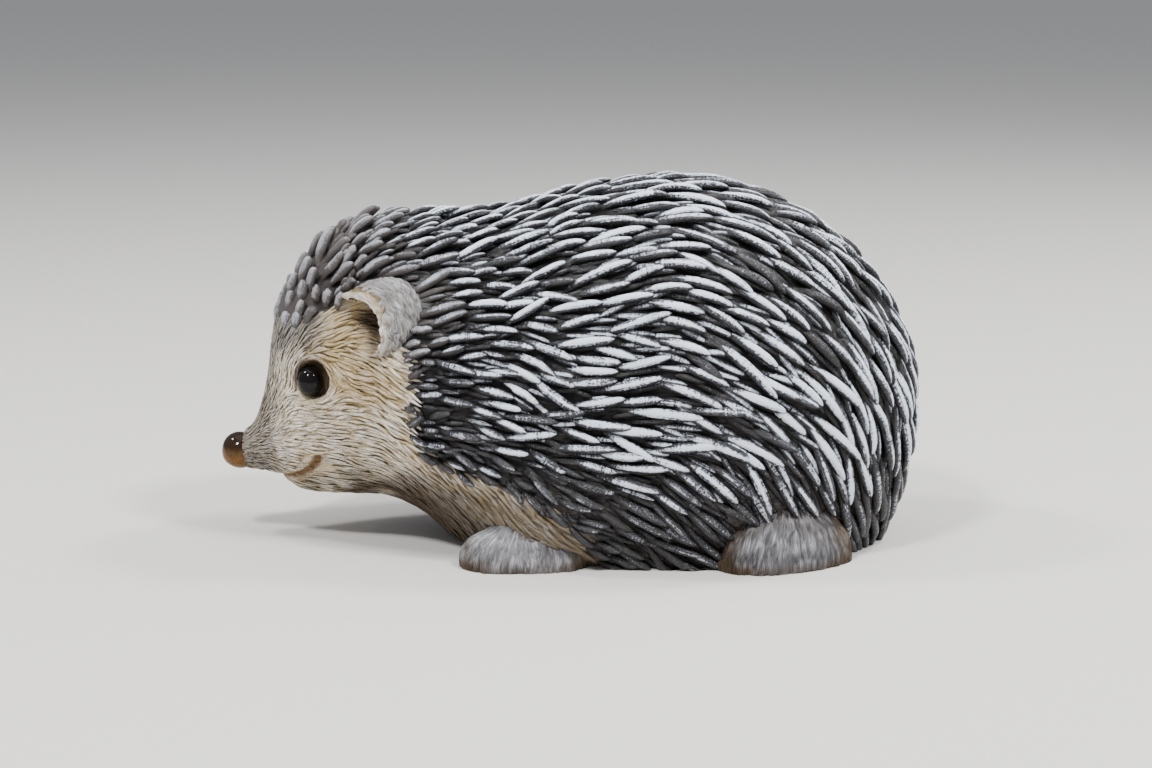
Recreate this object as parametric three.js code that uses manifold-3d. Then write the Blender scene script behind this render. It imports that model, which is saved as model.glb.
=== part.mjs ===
// A cast-resin hedgehog ornament, 212 mm long, standing low on a flat-cut base.
// Millimetres. +Z is up, the floor is z = 0, the animal faces -X and its left side is -Y.
// The body is one loft from nose to rump. Thin cuts then part it where its features meet,
// and the ears, eyes, nose and feet are set into it.
import * as THREE from 'three';
import { mergeVertices } from 'three/addons/utils/BufferGeometryUtils.js';
import Module from 'manifold-3d';

// ---------------------------------------------------------------- driving dimensions
const GAP = 0.3;                     // clearance left between neighbouring pieces
const AROUND = 36;                   // facets round a section of the body
const STEPS = 2;                     // sections between two stations
const RUMP_STEPS = 9;                // sections over the rump
const FAR = 400;                     // well outside the ornament

// The rump is a quarter ellipsoid that starts at the widest section.
const RUMP = { start: 28, length: 78, middle: 41, up: 70, down: 80, wide: 56, coat: 4 };

// Stations from the muzzle to the widest section. top and base are [x, z] on the middle
// plane, wide is the half width over the quills, coat is the depth of the quills there,
// and level is the height of the widest line as a share of the section.
const STATIONS = [
  { top: [-104.0, 25.5], base: [-104.0, 25.5], wide: 0.0, coat: 0.0, level: 0.50 },
  { top: [-99.8, 31.0], base: [-99.4, 20.2], wide: 5.6, coat: 0.0, level: 0.50 },
  { top: [-96.2, 34.2], base: [-94.6, 19.3], wide: 7.6, coat: 0.0, level: 0.50 },
  { top: [-94.0, 39.6], base: [-89.5, 18.4], wide: 9.8, coat: 0.0, level: 0.48 },
  { top: [-92.2, 46.2], base: [-85.0, 15.6], wide: 12.6, coat: 0.0, level: 0.46 },
  { top: [-91.0, 53.4], base: [-79.5, 13.2], wide: 15.2, coat: 0.0, level: 0.45 },
  { top: [-90.0, 61.5], base: [-72.5, 12.2], wide: 18.6, coat: 0.2, level: 0.44 },
  { top: [-87.8, 72.5], base: [-65.0, 12.0], wide: 22.8, coat: 0.9, level: 0.44 },
  { top: [-81.5, 83.2], base: [-57.5, 12.0], wide: 27.8, coat: 2.0, level: 0.44 },
  { top: [-71.5, 92.6], base: [-50.5, 10.6], wide: 33.2, coat: 3.0, level: 0.44 },
  { top: [-58.0, 98.4], base: [-43.0, 6.4], wide: 39.4, coat: 3.6, level: 0.44 },
  { top: [-40.0, 99.8], base: [-34.0, -2.0], wide: 44.6, coat: 4.0, level: 0.45 },
  { top: [-20.0, 101.7], base: [-19.0, -16.0], wide: 49.8, coat: 4.0, level: 0.48 },
  { top: [4.0, 107.8], base: [4.0, -31.0], wide: 54.2, coat: 4.0, level: 0.52 },
  { top: [28.0, 111.0], base: [28.0, -39.0], wide: 56.0, coat: 4.0, level: 0.533 },
];

// Regions in side view. Each line of [x, z] points bounds the region that lies away from it.
const FORWARD = [-1, 0];
const BACK = [1, 0];
const DOWN = [0, -1];
const FURRED = {                     // the face, throat and chest, below the quilled coat
  line: [
    [-125, 60], [-100, 62], [-89, 63], [-80, 64.5], [-71, 69], [-62, 71], [-52, 66],
    [-46.5, 57], [-47.5, 46], [-45.5, 35], [-40, 29.5], [-30, 25.5], [-16, 22.5], [-4, 18],
    [6, 8], [14, -12],
  ],
  away: DOWN,
};
const UNDER_MOUTH = {
  line: [[-110, 17.6], [-88, 18.2], [-81, 20.2], [-75, 24.6], [-70, 20], [-65, -5]],
  away: DOWN,
};
const BEHIND_THROAT = { line: [[-60, -10], [-53, 14], [-45, 36], [-30, 80]], away: BACK };
const BEFORE_NAPE = { line: [[-45, 120], [-52, 64], [-58, 10]], away: FORWARD };

const NOSE = { at: [-100.7, 0, 25.4], size: [5.4, 5.7, 5.6] };
const EYE = { at: [-76.5, -20.4, 50.6], size: [4.2, 4.1, 4.6], tilt: [-8, 0, -20] };
const EAR = { at: [-53.4, -27.5, 70.3], size: [12.8, 10.5, 12.2], tilt: [0, -17, 0] };
const EAR_HOLLOW = { at: [-57.9, -30.5, 70.1], size: [9, 8, 9.8], tilt: [0, -17, 0] };
const EAR_MOUTH = { at: [-60.6, -31, 70.3], tilt: [0, -9, 42] };
const FORELEG = { at: [-13.5, -40.5, 1.5], size: [19, 11, 11.5], tilt: [0, 0, 4] };
const SHOULDER = { at: [-7, -36, 12.5], size: [17, 10.5, 13.5] };
const HINDLEG = { at: [62, -37.5, 1], size: [22, 13, 18.5], tilt: [0, 0, 27] };

// ---------------------------------------------------------------- solids and cuts
const wasm = await Module();
wasm.setup();

// Turns a closed geometry into a solid that can be joined and cut.
function solidOf(geometry) {
  const bare = geometry.clone();
  bare.deleteAttribute('normal');
  bare.deleteAttribute('uv');
  const merged = mergeVertices(bare, 1e-4);
  return new wasm.Manifold(new wasm.Mesh({
    numProp: 3,
    vertProperties: new Float32Array(merged.attributes.position.array),
    triVerts: new Uint32Array(merged.index.array),
  }));
}

// Turns a solid back into a geometry with flat facets.
function geometryOf(solid) {
  const mesh = solid.getMesh();
  const indexed = new THREE.BufferGeometry();
  indexed.setAttribute('position', new THREE.BufferAttribute(mesh.vertProperties, mesh.numProp));
  indexed.setIndex(new THREE.BufferAttribute(mesh.triVerts, 1));
  const geometry = indexed.toNonIndexed();
  geometry.computeVertexNormals();
  return geometry;
}

// An ellipsoid tilted by degrees about X, then Y, then Z, and moved into place.
function ellipsoid({ at, size, tilt = [0, 0, 0] }, outset = 0, rings = 12, spokes = 22) {
  const geometry = new THREE.SphereGeometry(1, spokes, rings);
  geometry.scale(size[0] + outset, size[1] + outset, size[2] + outset);
  const [x, y, z] = tilt.map((angle) => THREE.MathUtils.degToRad(angle));
  geometry.rotateX(x).rotateY(y).rotateZ(z);
  geometry.translate(...at);
  return solidOf(geometry);
}

// A block from low to high corner.
function block(low, high) {
  const size = high.map((value, axis) => value - low[axis]);
  const geometry = new THREE.BoxGeometry(...size);
  geometry.translate(...low.map((value, axis) => value + size[axis] / 2));
  return solidOf(geometry);
}

// The prism on one side of a line drawn in side view. It is closed far away in the
// direction given, its line is moved outward by outset, and it runs right across.
function prism({ line, away }, outset) {
  const curve = new THREE.SplineCurve(line.map(([x, z]) => new THREE.Vector2(x, z)));
  const points = curve.getPoints(line.length * 2).map((point, index, all) => {
    const along = all[Math.min(index + 1, all.length - 1)].clone();
    along.sub(all[Math.max(index - 1, 0)]).normalize();
    return new THREE.Vector2(point.x - along.y * outset, point.y + along.x * outset);
  });
  const far = new THREE.Vector2(...away).multiplyScalar(FAR);
  const shape = new THREE.Shape([
    ...points, points[points.length - 1].clone().add(far), points[0].clone().add(far),
  ]);
  const geometry = new THREE.ExtrudeGeometry(shape, { depth: FAR, bevelEnabled: false });
  geometry.rotateX(Math.PI / 2);
  geometry.translate(0, FAR / 2, 0);
  return solidOf(geometry);
}

// The copy of a solid on the animal's other side.
function mirrored(solid) {
  return solid.mirror([0, 1, 0]);
}

// ---------------------------------------------------------------- the body's loft
// The spline through one value of every station.
function stationCurve(value) {
  const points = STATIONS.map((station) => new THREE.Vector3(...value(station)));
  return new THREE.CatmullRomCurve3(points, false, 'catmullrom', 0.5);
}

const topCurve = stationCurve((station) => [station.top[0], 0, station.top[1]]);
const baseCurve = stationCurve((station) => [station.base[0], 0, station.base[1]]);
const sizeCurve = stationCurve((station) => [station.wide, station.coat, station.level]);

// The sections from the nose to the tail end, each { top, base, wide, coat, level }.
function sections() {
  const list = [];
  const count = (STATIONS.length - 1) * STEPS;
  for (let index = 0; index < count; index += 1) {
    const share = index / count;
    const { x: wide, y: coat, z: level } = sizeCurve.getPoint(share);
    list.push({ top: topCurve.getPoint(share), base: baseCurve.getPoint(share), wide, coat, level });
  }
  for (let index = 0; index <= RUMP_STEPS; index += 1) {
    const angle = (index / RUMP_STEPS) * (Math.PI / 2);
    const shrink = Math.cos(angle);
    const x = RUMP.start + RUMP.length * Math.sin(angle);
    list.push({
      top: new THREE.Vector3(x, 0, RUMP.middle + RUMP.up * shrink),
      base: new THREE.Vector3(x, 0, RUMP.middle - RUMP.down * shrink),
      wide: RUMP.wide * shrink,
      coat: RUMP.coat * shrink,
      level: RUMP.down / (RUMP.up + RUMP.down),
    });
  }
  return list;
}

// The points round one section: an ellipse whose upper and lower halves differ. Above and
// beside, it is drawn in by the share of the coat's depth that is left off.
function sectionPoints({ top, base, wide, coat, level }, coatShare, outset) {
  const upright = top.clone().sub(base);
  const height = upright.length();
  upright.normalize();
  const centre = base.clone().addScaledVector(upright, height * level);
  const drawnIn = coat * (1 - coatShare) - outset;
  const points = [];
  for (let spoke = 0; spoke < AROUND; spoke += 1) {
    const angle = (spoke / AROUND) * Math.PI * 2;
    const above = Math.sin(angle) > 0;
    const half = above ? height * (1 - level) - drawnIn : height * level + outset;
    const point = centre.clone().addScaledVector(upright, Math.sin(angle) * half);
    points.push(point.x, Math.cos(angle) * (wide - drawnIn), point.z);
  }
  return points;
}

// The loft of the whole body, closed by a point at the nose and one at the tail end. With
// a coatShare of 1 it reaches the quill tips, and with 0 it is the skin.
function bodyLoft(coatShare, outset = 0) {
  const list = sections();
  const nose = list[0].top;
  const tail = list[list.length - 1].top;
  const positions = [nose.x - outset, 0, nose.z];
  for (const section of list.slice(1, -1)) {
    positions.push(...sectionPoints(section, coatShare, outset));
  }
  positions.push(tail.x + outset, 0, tail.z);
  return solidOf(closedLoft(positions, list.length - 2));
}

// Joins rings of AROUND points, with a single point at each end, into one closed geometry.
function closedLoft(positions, rings) {
  const corner = (ring, spoke) => 1 + ring * AROUND + (spoke % AROUND);
  const last = 1 + rings * AROUND;
  const faces = [];
  for (let spoke = 0; spoke < AROUND; spoke += 1) {
    faces.push(0, corner(0, spoke + 1), corner(0, spoke));
    for (let ring = 0; ring < rings - 1; ring += 1) {
      const near = [corner(ring, spoke), corner(ring, spoke + 1)];
      const far = [corner(ring + 1, spoke), corner(ring + 1, spoke + 1)];
      faces.push(near[0], near[1], far[0], near[1], far[1], far[0]);
    }
    faces.push(corner(rings - 1, spoke), corner(rings - 1, spoke + 1), last);
  }
  const geometry = new THREE.BufferGeometry();
  geometry.setAttribute('position', new THREE.Float32BufferAttribute(positions, 3));
  geometry.setIndex(faces);
  return geometry;
}

// ---------------------------------------------------------------- the parts
const HALF_GAP = GAP / 2;
const floorUp = block([-FAR, -FAR, 0], [FAR, FAR, FAR]);

// All that the body fills, one gap larger, for what is set against it.
const filled = bodyLoft(0, GAP).add(bodyLoft(1, GAP).subtract(prism(FURRED, -GAP)));

// The room that each ear takes out of the quilled coat.
const earRoom = ellipsoid(EAR, GAP).subtract(bodyLoft(0));

// The part of the body with quills, and the part with fur, parted by a thin cut.
const quilled = bodyLoft(1).intersect(floorUp).subtract(prism(FURRED, HALF_GAP))
  .subtract(earRoom).subtract(mirrored(earRoom));
const furred = bodyLoft(0).intersect(floorUp).intersect(prism(FURRED, -HALF_GAP));

// The back and flanks, down to the flat base.
function trunk() {
  return quilled.subtract(prism(BEFORE_NAPE, HALF_GAP));
}

// The cap of short quills over the head.
function crown() {
  return quilled.intersect(prism(BEFORE_NAPE, -HALF_GAP));
}

// The face and cheeks, without the lower jaw, with seats for the eyes and the nose.
function head() {
  const eyeSeat = ellipsoid(EYE, GAP);
  return furred.subtract(prism(BEHIND_THROAT, HALF_GAP)).subtract(prism(UNDER_MOUTH, HALF_GAP))
    .subtract(ellipsoid(NOSE, GAP)).subtract(eyeSeat).subtract(mirrored(eyeSeat));
}

// The chin and the back of the jaw, below the mouth.
function lowerJaw() {
  return furred.subtract(prism(BEHIND_THROAT, HALF_GAP)).intersect(prism(UNDER_MOUTH, -HALF_GAP));
}

// The throat, the chest and the furred belly between the forelegs.
function chest() {
  return furred.intersect(prism(BEHIND_THROAT, -HALF_GAP));
}

// A cupped flap, open forward and outward, that stands off the side of the head.
function leftEar() {
  const opening = block([-FAR, -FAR, -FAR], [0, FAR, FAR]).rotate(EAR_MOUTH.tilt)
    .translate(EAR_MOUTH.at);
  return ellipsoid(EAR, 0, 14, 26).subtract(ellipsoid(EAR_HOLLOW)).subtract(opening)
    .subtract(bodyLoft(0, GAP));
}

// A mitten paw with the shoulder that rises from it into the coat.
function leftForeleg() {
  return ellipsoid(FORELEG).add(ellipsoid(SHOULDER)).intersect(floorUp).subtract(filled);
}

// The low dome of the hind foot, along the foot of the flank.
function leftHindleg() {
  return ellipsoid(HINDLEG).intersect(floorUp).subtract(filled);
}

// ---------------------------------------------------------------- materials
function castResin(color, roughness) {
  return new THREE.MeshStandardMaterial({ color, roughness, metalness: 0 });
}
const quillPaint = castResin(0x8b8683, 0.5);
const creamPaint = castResin(0xc8b496, 0.65);
const greyPaint = castResin(0xa39d98, 0.6);
const nosePaint = castResin(0x5a3a1c, 0.2);
const eyePaint = castResin(0x120d0b, 0.1);

// ---------------------------------------------------------------- the ornament
const ornament = new THREE.Group();

function put(name, solid, material) {
  const mesh = new THREE.Mesh(geometryOf(solid), material);
  mesh.name = name;
  ornament.add(mesh);
}

function putPair(name, solid, material) {
  put(`${name}_left`, solid, material);
  put(`${name}_right`, mirrored(solid), material);
}

put('trunk', trunk(), quillPaint);
put('crown', crown(), quillPaint);
put('head', head(), creamPaint);
put('lower_jaw', lowerJaw(), creamPaint);
put('chest', chest(), creamPaint);
put('nose', ellipsoid(NOSE), nosePaint);
putPair('eye', ellipsoid(EYE), eyePaint);
putPair('ear', leftEar(), creamPaint);
putPair('foreleg', leftForeleg(), creamPaint);
putPair('hindleg', leftHindleg(), greyPaint);

export default ornament;
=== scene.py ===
# %% [markdown]
# # A cast-resin hedgehog, carved and painted
#
# The ornament is one resin casting, 212 mm long, that stands low on a flat-cut base. Its back
# is a coat of thick carved quills, dark in the hollows and dry-brushed white on the ridges.
# The face, chest and paws are carved with fine fur strokes and painted cream, ochre and grey.
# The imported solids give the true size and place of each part. The pieces made here follow
# the same loft, drawn in by the depth of the quills, so that they stay inside those solids.

# %% Load the frame
import math
from types import SimpleNamespace
import bpy
import numpy as np
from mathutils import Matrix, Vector


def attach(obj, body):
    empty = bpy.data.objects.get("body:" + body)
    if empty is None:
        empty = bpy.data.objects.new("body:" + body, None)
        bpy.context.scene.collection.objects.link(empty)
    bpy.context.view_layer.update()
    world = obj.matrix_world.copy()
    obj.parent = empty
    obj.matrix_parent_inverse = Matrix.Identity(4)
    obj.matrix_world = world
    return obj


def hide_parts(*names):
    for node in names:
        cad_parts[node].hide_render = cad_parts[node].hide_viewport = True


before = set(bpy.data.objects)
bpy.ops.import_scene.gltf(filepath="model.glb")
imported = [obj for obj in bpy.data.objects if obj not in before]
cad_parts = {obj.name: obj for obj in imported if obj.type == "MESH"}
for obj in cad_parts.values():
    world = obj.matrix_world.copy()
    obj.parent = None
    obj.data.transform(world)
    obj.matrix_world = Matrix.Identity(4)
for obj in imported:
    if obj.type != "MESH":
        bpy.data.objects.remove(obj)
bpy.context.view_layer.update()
MM = 0.001
print("solids loaded:", len(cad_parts))

# %% [markdown]
# ## Camera, floor and light
#
# The camera stands 0.76 m in front of the animal's left side and looks down by about eleven
# degrees. A short telephoto lens keeps the outline calm. The floor is a plain pale sheet. Two
# windows of two panes each give the light its direction and the eye its two pairs of sparks,
# and a ceiling light, a bounce card and a pale sky fill the shadows, so that no edge falls
# hard.

# %% Camera
LENS_MM = 80.3
CAMERA_PLACE = Vector((1.55, -763.9, 191.5)) * MM
LOOK_DOWN = math.radians(10.8)

camera_data = bpy.data.cameras.new("camera")
camera_data.lens = LENS_MM
camera_data.sensor_width = 36.0
camera = bpy.data.objects.new("camera", camera_data)
camera.location = CAMERA_PLACE
camera.rotation_euler = (math.pi / 2 - LOOK_DOWN, 0, 0)
bpy.context.scene.collection.objects.link(camera)
bpy.context.scene.camera = camera
print("camera height in mm:", round(CAMERA_PLACE.z / MM))

# %% Floor
FLOOR_HALF = 9.0
FLOOR_COLOUR, FLOOR_ROUGHNESS = (0.66, 0.64, 0.61, 1), 0.75


def plain_floor():
    """A square of side 2 FLOOR_HALF at height zero."""
    mesh = bpy.data.meshes.new("floor")
    corners = [(-1, -1), (1, -1), (1, 1), (-1, 1)]
    mesh.from_pydata([(x * FLOOR_HALF, y * FLOOR_HALF, 0) for x, y in corners], [], [(0, 1, 2, 3)])
    floor = bpy.data.objects.new("floor", mesh)
    bpy.context.scene.collection.objects.link(floor)
    paint = bpy.data.materials.new("floor")
    paint.use_nodes = True
    shader = paint.node_tree.nodes["Principled BSDF"]
    shader.inputs["Base Color"].default_value = FLOOR_COLOUR
    shader.inputs["Roughness"].default_value = FLOOR_ROUGHNESS
    mesh.materials.append(paint)
    return floor


print("floor:", plain_floor().name)

# %% Lights and sky
BODY_MIDDLE = Vector((0, 0, 0.05))

# Place, size and power of each light.
LIGHTS = {
    "window_pane_left_upper": ((-0.72, 0.05, 0.94), 0.15, 6.5),
    "window_pane_left_lower": ((-0.38, -0.60, 0.93), 0.15, 10.7),
    "window_pane_right_upper": ((0.56, 0.22, 0.92), 0.15, 6.5),
    "window_pane_right_lower": ((0.51, -0.43, 0.88), 0.15, 9.7),
    "bounce": ((0.8, 0.5, 0.55), 0.7, 3),
    "ceiling": ((-0.05, 0.1, 1.1), 0.8, 3),
}
SKY_COLOUR, SKY_STRENGTH = (0.86, 0.9, 0.97, 1), 0.44


def soft_light(name, place, size, power):
    """A square area light at place, facing the middle of the body."""
    data = bpy.data.lights.new(name, "AREA")
    data.size = size
    data.energy = power
    light = bpy.data.objects.new(name, data)
    light.location = place
    light.rotation_euler = (BODY_MIDDLE - Vector(place)).to_track_quat("-Z", "Y").to_euler()
    bpy.context.scene.collection.objects.link(light)


for name, (place, size, power) in LIGHTS.items():
    soft_light(name, place, size, power)
sky = bpy.data.worlds.new("studio")
bpy.context.scene.world = sky
sky.use_nodes = True
sky_light = sky.node_tree.nodes["Background"].inputs
sky_light["Color"].default_value = SKY_COLOUR
sky_light["Strength"].default_value = SKY_STRENGTH
print("lights:", len(LIGHTS))

# %% [markdown]
# ## The form of the body
#
# The body is one loft from the nose to the rump, as a modeller would build it from sections.
# Each section is an ellipse that leans with the head, given by a point on the back, a point
# on the belly and a half width. The rump is a quarter ellipsoid. Every carved piece is laid
# on this form, so it is kept as a formula: the skin is a grid of its points, and the quills
# ask it for the surface and its slope wherever they lie.

# %% Sections of the body
RUMP_START, RUMP_MIDDLE = 28.0, 41.0
RUMP_LENGTH, RUMP_WIDE, RUMP_UP, RUMP_DOWN = 78.0, 56.0, 70.0, 80.0
COAT = 4.0

# Back x and z, belly x and z, half width, depth of the coat, height of the widest line.
STATIONS = np.array([
    (-104.0, 25.5, -104.0, 25.5, 0.0, 0.0, 0.50),
    (-99.8, 31.0, -99.4, 20.2, 5.6, 0.0, 0.50),
    (-96.2, 34.2, -94.6, 19.3, 7.6, 0.0, 0.50),
    (-94.0, 39.6, -89.5, 18.4, 9.8, 0.0, 0.48),
    (-92.2, 46.2, -85.0, 15.6, 12.6, 0.0, 0.46),
    (-91.0, 53.4, -79.5, 13.2, 15.2, 0.0, 0.45),
    (-90.0, 61.5, -72.5, 12.2, 18.6, 0.2, 0.44),
    (-87.8, 72.5, -65.0, 12.0, 22.8, 0.9, 0.44),
    (-81.5, 83.2, -57.5, 12.0, 27.8, 2.0, 0.44),
    (-71.5, 92.6, -50.5, 10.6, 33.2, 3.0, 0.44),
    (-58.0, 98.4, -43.0, 6.4, 39.4, 3.6, 0.44),
    (-40.0, 99.8, -34.0, -2.0, 44.6, 4.0, 0.45),
    (-20.0, 101.7, -19.0, -16.0, 49.8, 4.0, 0.48),
    (4.0, 107.8, 4.0, -31.0, 54.2, 4.0, 0.52),
    (28.0, 111.0, 28.0, -39.0, 56.0, 4.0, 0.533),
])


def station_values(share):
    """The stations' values at share 0 to 1 along the body, by a Catmull-Rom curve:
    half of (2b + (c - a)t + (2a - 5b + 4c - d)t^2 + (3b - a - 3c + d)t^3)."""
    padded = np.vstack([2 * STATIONS[0] - STATIONS[1], STATIONS, 2 * STATIONS[-1] - STATIONS[-2]])
    place = np.clip(share, 0, 1) * (len(STATIONS) - 1)
    first = np.minimum(place.astype(int), len(STATIONS) - 2)
    t = (place - first)[:, None]
    a, b, c, d = (padded[first + step] for step in range(4))
    return 0.5 * (2 * b + (c - a) * t + (2 * a - 5 * b + 4 * c - d) * t**2
                  + (3 * b - a - 3 * c + d) * t**3)


def sections(share):
    """Each section as columns: centre x, centre z, upright x, upright z, up, down, wide.
    The coat's depth is taken off the top and the sides, and the belly is bare."""
    values = station_values(share)
    back, belly = values[:, 0:2], values[:, 2:4]
    height = np.maximum(np.linalg.norm(back - belly, axis=1), 1e-6)
    upright = (back - belly) / height[:, None]
    wide, coat, level = values[:, 4], values[:, 5], values[:, 6]
    centre = belly + upright * (height * level)[:, None]
    up = np.maximum(height * (1 - level) - coat, 0.01)
    down = np.maximum(height * level, 0.01)
    return np.column_stack([centre, upright, up, down, np.maximum(wide - coat, 0.01)])


FORM = sections(np.linspace(0, 1, 700))
print("sections in the form:", len(FORM))


# %% The form as a formula
def section_of(points):
    """The section through each point, between the two rows of FORM whose planes hold it."""
    off_plane = (FORM[:, 2] * (points[:, 2:3] - FORM[:, 1])
                 - FORM[:, 3] * (points[:, 0:1] - FORM[:, 0]))
    row = np.clip((off_plane < 0).sum(axis=1) - 1, 0, len(FORM) - 2)
    each = np.arange(len(points))
    before, after = off_plane[each, row], off_plane[each, row + 1]
    share = np.clip(before / np.where(before == after, 1, before - after), 0, 1)
    return FORM[row] * (1 - share)[:, None] + FORM[row + 1] * share[:, None]


def centre_and_ratio(points):
    """The centre that each point is seen from, and the point's distance from it as a share
    of the skin's: 1 on the skin. In front it is the ellipse of its section, and behind
    the widest section it is the ellipsoid of the rump."""
    x, y, z = points.T
    section = section_of(points)
    above = (x - section[:, 0]) * section[:, 2] + (z - section[:, 1]) * section[:, 3]
    half = np.where(above > 0, section[:, 4], section[:, 5])
    ratio = np.hypot(above / half, y / section[:, 6])
    centre = np.column_stack([section[:, 0], np.zeros(len(x)), section[:, 1]])
    rear = x > RUMP_START
    up = np.where(z > RUMP_MIDDLE, RUMP_UP - COAT, RUMP_DOWN)
    along = (x - RUMP_START) / (RUMP_LENGTH - COAT)
    rear_ratio = np.sqrt(along**2 + (y / (RUMP_WIDE - COAT))**2 + ((z - RUMP_MIDDLE) / up)**2)
    rear_centre = np.array([RUMP_START, 0, RUMP_MIDDLE])
    return np.where(rear[:, None], rear_centre, centre), np.where(rear, rear_ratio, ratio)


def onto_skin(points):
    """Moves points straight out from, or in to, their centre until the ratio is 1."""
    centre, ratio = centre_and_ratio(points)
    return centre + (points - centre) / np.maximum(ratio, 1e-3)[:, None]


def skin_normal(points):
    """The slope of the ratio, by a small step each way along X, Y and Z."""
    step = 0.2
    slope = np.zeros_like(points)
    for axis in range(3):
        move = np.zeros(3)
        move[axis] = step
        slope[:, axis] = centre_and_ratio(points + move)[1] - centre_and_ratio(points - move)[1]
    return slope / np.maximum(np.linalg.norm(slope, axis=1, keepdims=True), 1e-9)


print("the skin's top over x = 0:", onto_skin(np.array([[0.0, 0.0, 90.0]])).round(1).tolist())


# %% Chance and soft noise
SEED = 20
random = np.random.default_rng(SEED)
WAVES, WAVE_VARIES, WAVE_SUM = 7, (0.7, 1.5), 3.2


def ripple(points, size, seed):
    """A smooth random value from about -1 to 1: a sum of sine waves of wavelength near
    size, each running its own way. points may be a grid of any shape."""
    waves = np.random.default_rng(seed)
    flat = points.reshape(-1, 3)
    total = np.zeros(len(flat))
    for _ in range(WAVES):
        way = waves.normal(size=3)
        way *= 2 * math.pi / (size * waves.uniform(*WAVE_VARIES) * np.linalg.norm(way))
        total += np.sin(flat @ way + waves.uniform(0, 2 * math.pi))
    return (total / WAVE_SUM).reshape(points.shape[:-1])


def smooth_step(low, high, value):
    """0 below low, 1 above high, and 3t^2 - 2t^3 between."""
    t = np.clip((value - low) / (high - low), 0, 1)
    return t * t * (3 - 2 * t)


print("ripple at three places:", ripple(np.eye(3), 5, 1).round(2))


# %% The line where the quills stop
FUR_LINE = np.array([
    (-125, 65), (-100, 66), (-88, 66.5), (-80, 67), (-71, 70.5), (-65, 72.5), (-59, 73), (-52, 66),
    (-46.5, 57), (-47.5, 46), (-45.5, 35), (-40, 29.5), (-30, 25.5), (-16, 22.5), (-4, 18),
    (6, 8), (14, -12),
], float)


def beyond_line(points, line=FUR_LINE):
    """How far each point lies from a line of [x, z] in side view, in mm: positive above
    and behind the line, where the quills are, and negative in the fur."""
    place = points[:, [0, 2]]
    start, way = line[:-1], np.diff(line, axis=0)
    reach = place[:, None, :] - start
    share = np.clip((reach * way).sum(2) / (way**2).sum(1), 0, 1)
    gap = reach - share[:, :, None] * way
    distance = np.hypot(gap[..., 0], gap[..., 1])
    nearest = distance.argmin(axis=1)
    each = np.arange(len(points))
    side = way[nearest, 0] * reach[each, nearest, 1] - way[nearest, 1] * reach[each, nearest, 0]
    return np.where(side > 0, 1, -1) * distance[each, nearest]


print("points on the line of the fur:", len(FUR_LINE))

# %% [markdown]
# ## Shells and how they become meshes
#
# Everything made here is a closed grid of points, with one index along and one around. The
# skin, ears, paws and beads are shells, closed by a point at each end. The quills and
# strokes are closed by flat caps, and many are joined into one piece. Each shell or ridge
# has a box of its own on the paint map, and carries a few values at its points, such as how
# furred or how ochre that spot is, for the paint to read.

# %% From arrays to a piece
def new_piece(name, points, faces, places, values):
    """A smooth mesh object, from points in mm. faces are arrays of corner numbers, with one
    row for each face. places are arrays of the same corners' places on the OFBake paint
    map, and each of the values becomes an attribute of the points."""
    corners = np.concatenate([group.ravel() for group in faces])
    sizes = np.concatenate([np.full(len(group), group.shape[1]) for group in faces])
    mesh = bpy.data.meshes.new(name)
    mesh.vertices.add(len(points))
    mesh.vertices.foreach_set("co", (points * MM).astype(np.float32).ravel())
    mesh.loops.add(len(corners))
    mesh.loops.foreach_set("vertex_index", corners.astype(np.int32))
    mesh.polygons.add(len(sizes))
    mesh.polygons.foreach_set("loop_start", np.cumsum(sizes) - sizes)
    mesh.update(calc_edges=True)
    mesh.polygons.foreach_set("use_smooth", np.ones(len(sizes), bool))
    spots = np.concatenate([group.ravel() for group in places])
    mesh.uv_layers.new(name="OFBake").uv.foreach_set("vector", spots.astype(np.float32))
    for key, value in values.items():
        attribute = mesh.attributes.new(key, "FLOAT", "POINT")
        attribute.data.foreach_set("value", np.ascontiguousarray(value, np.float32).ravel())
    mesh.validate()
    piece = bpy.data.objects.new(name, mesh)
    bpy.context.scene.collection.objects.link(piece)
    print(name, "points:", len(points), "triangles:", int((sizes - 2).sum()))
    return piece


def grid_corners(rows, around):
    """The ring and the spoke of each corner of the faces between rings, as two arrays of
    one row a face. The last spoke is not yet wrapped back to the first."""
    ring, spoke = np.indices((rows - 1, around)).reshape(2, -1, 1)
    return ring + np.array([0, 0, 1, 1]), spoke + np.array([0, 1, 1, 0])


# %% From rings to a shell
MAP_MARGIN = 0.02
WHOLE_MAP = (0.0, 0.0, 1.0, 1.0)


def with_ends(values, rows, around):
    """Adds to each set of values the two for a shell's end points: its first and last
    rings' averages."""
    grid = {key: value.reshape(rows, around) for key, value in values.items()}
    return {key: np.append(value.ravel(), [value[0].mean(), value[-1].mean()])
            for key, value in grid.items()}


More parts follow.
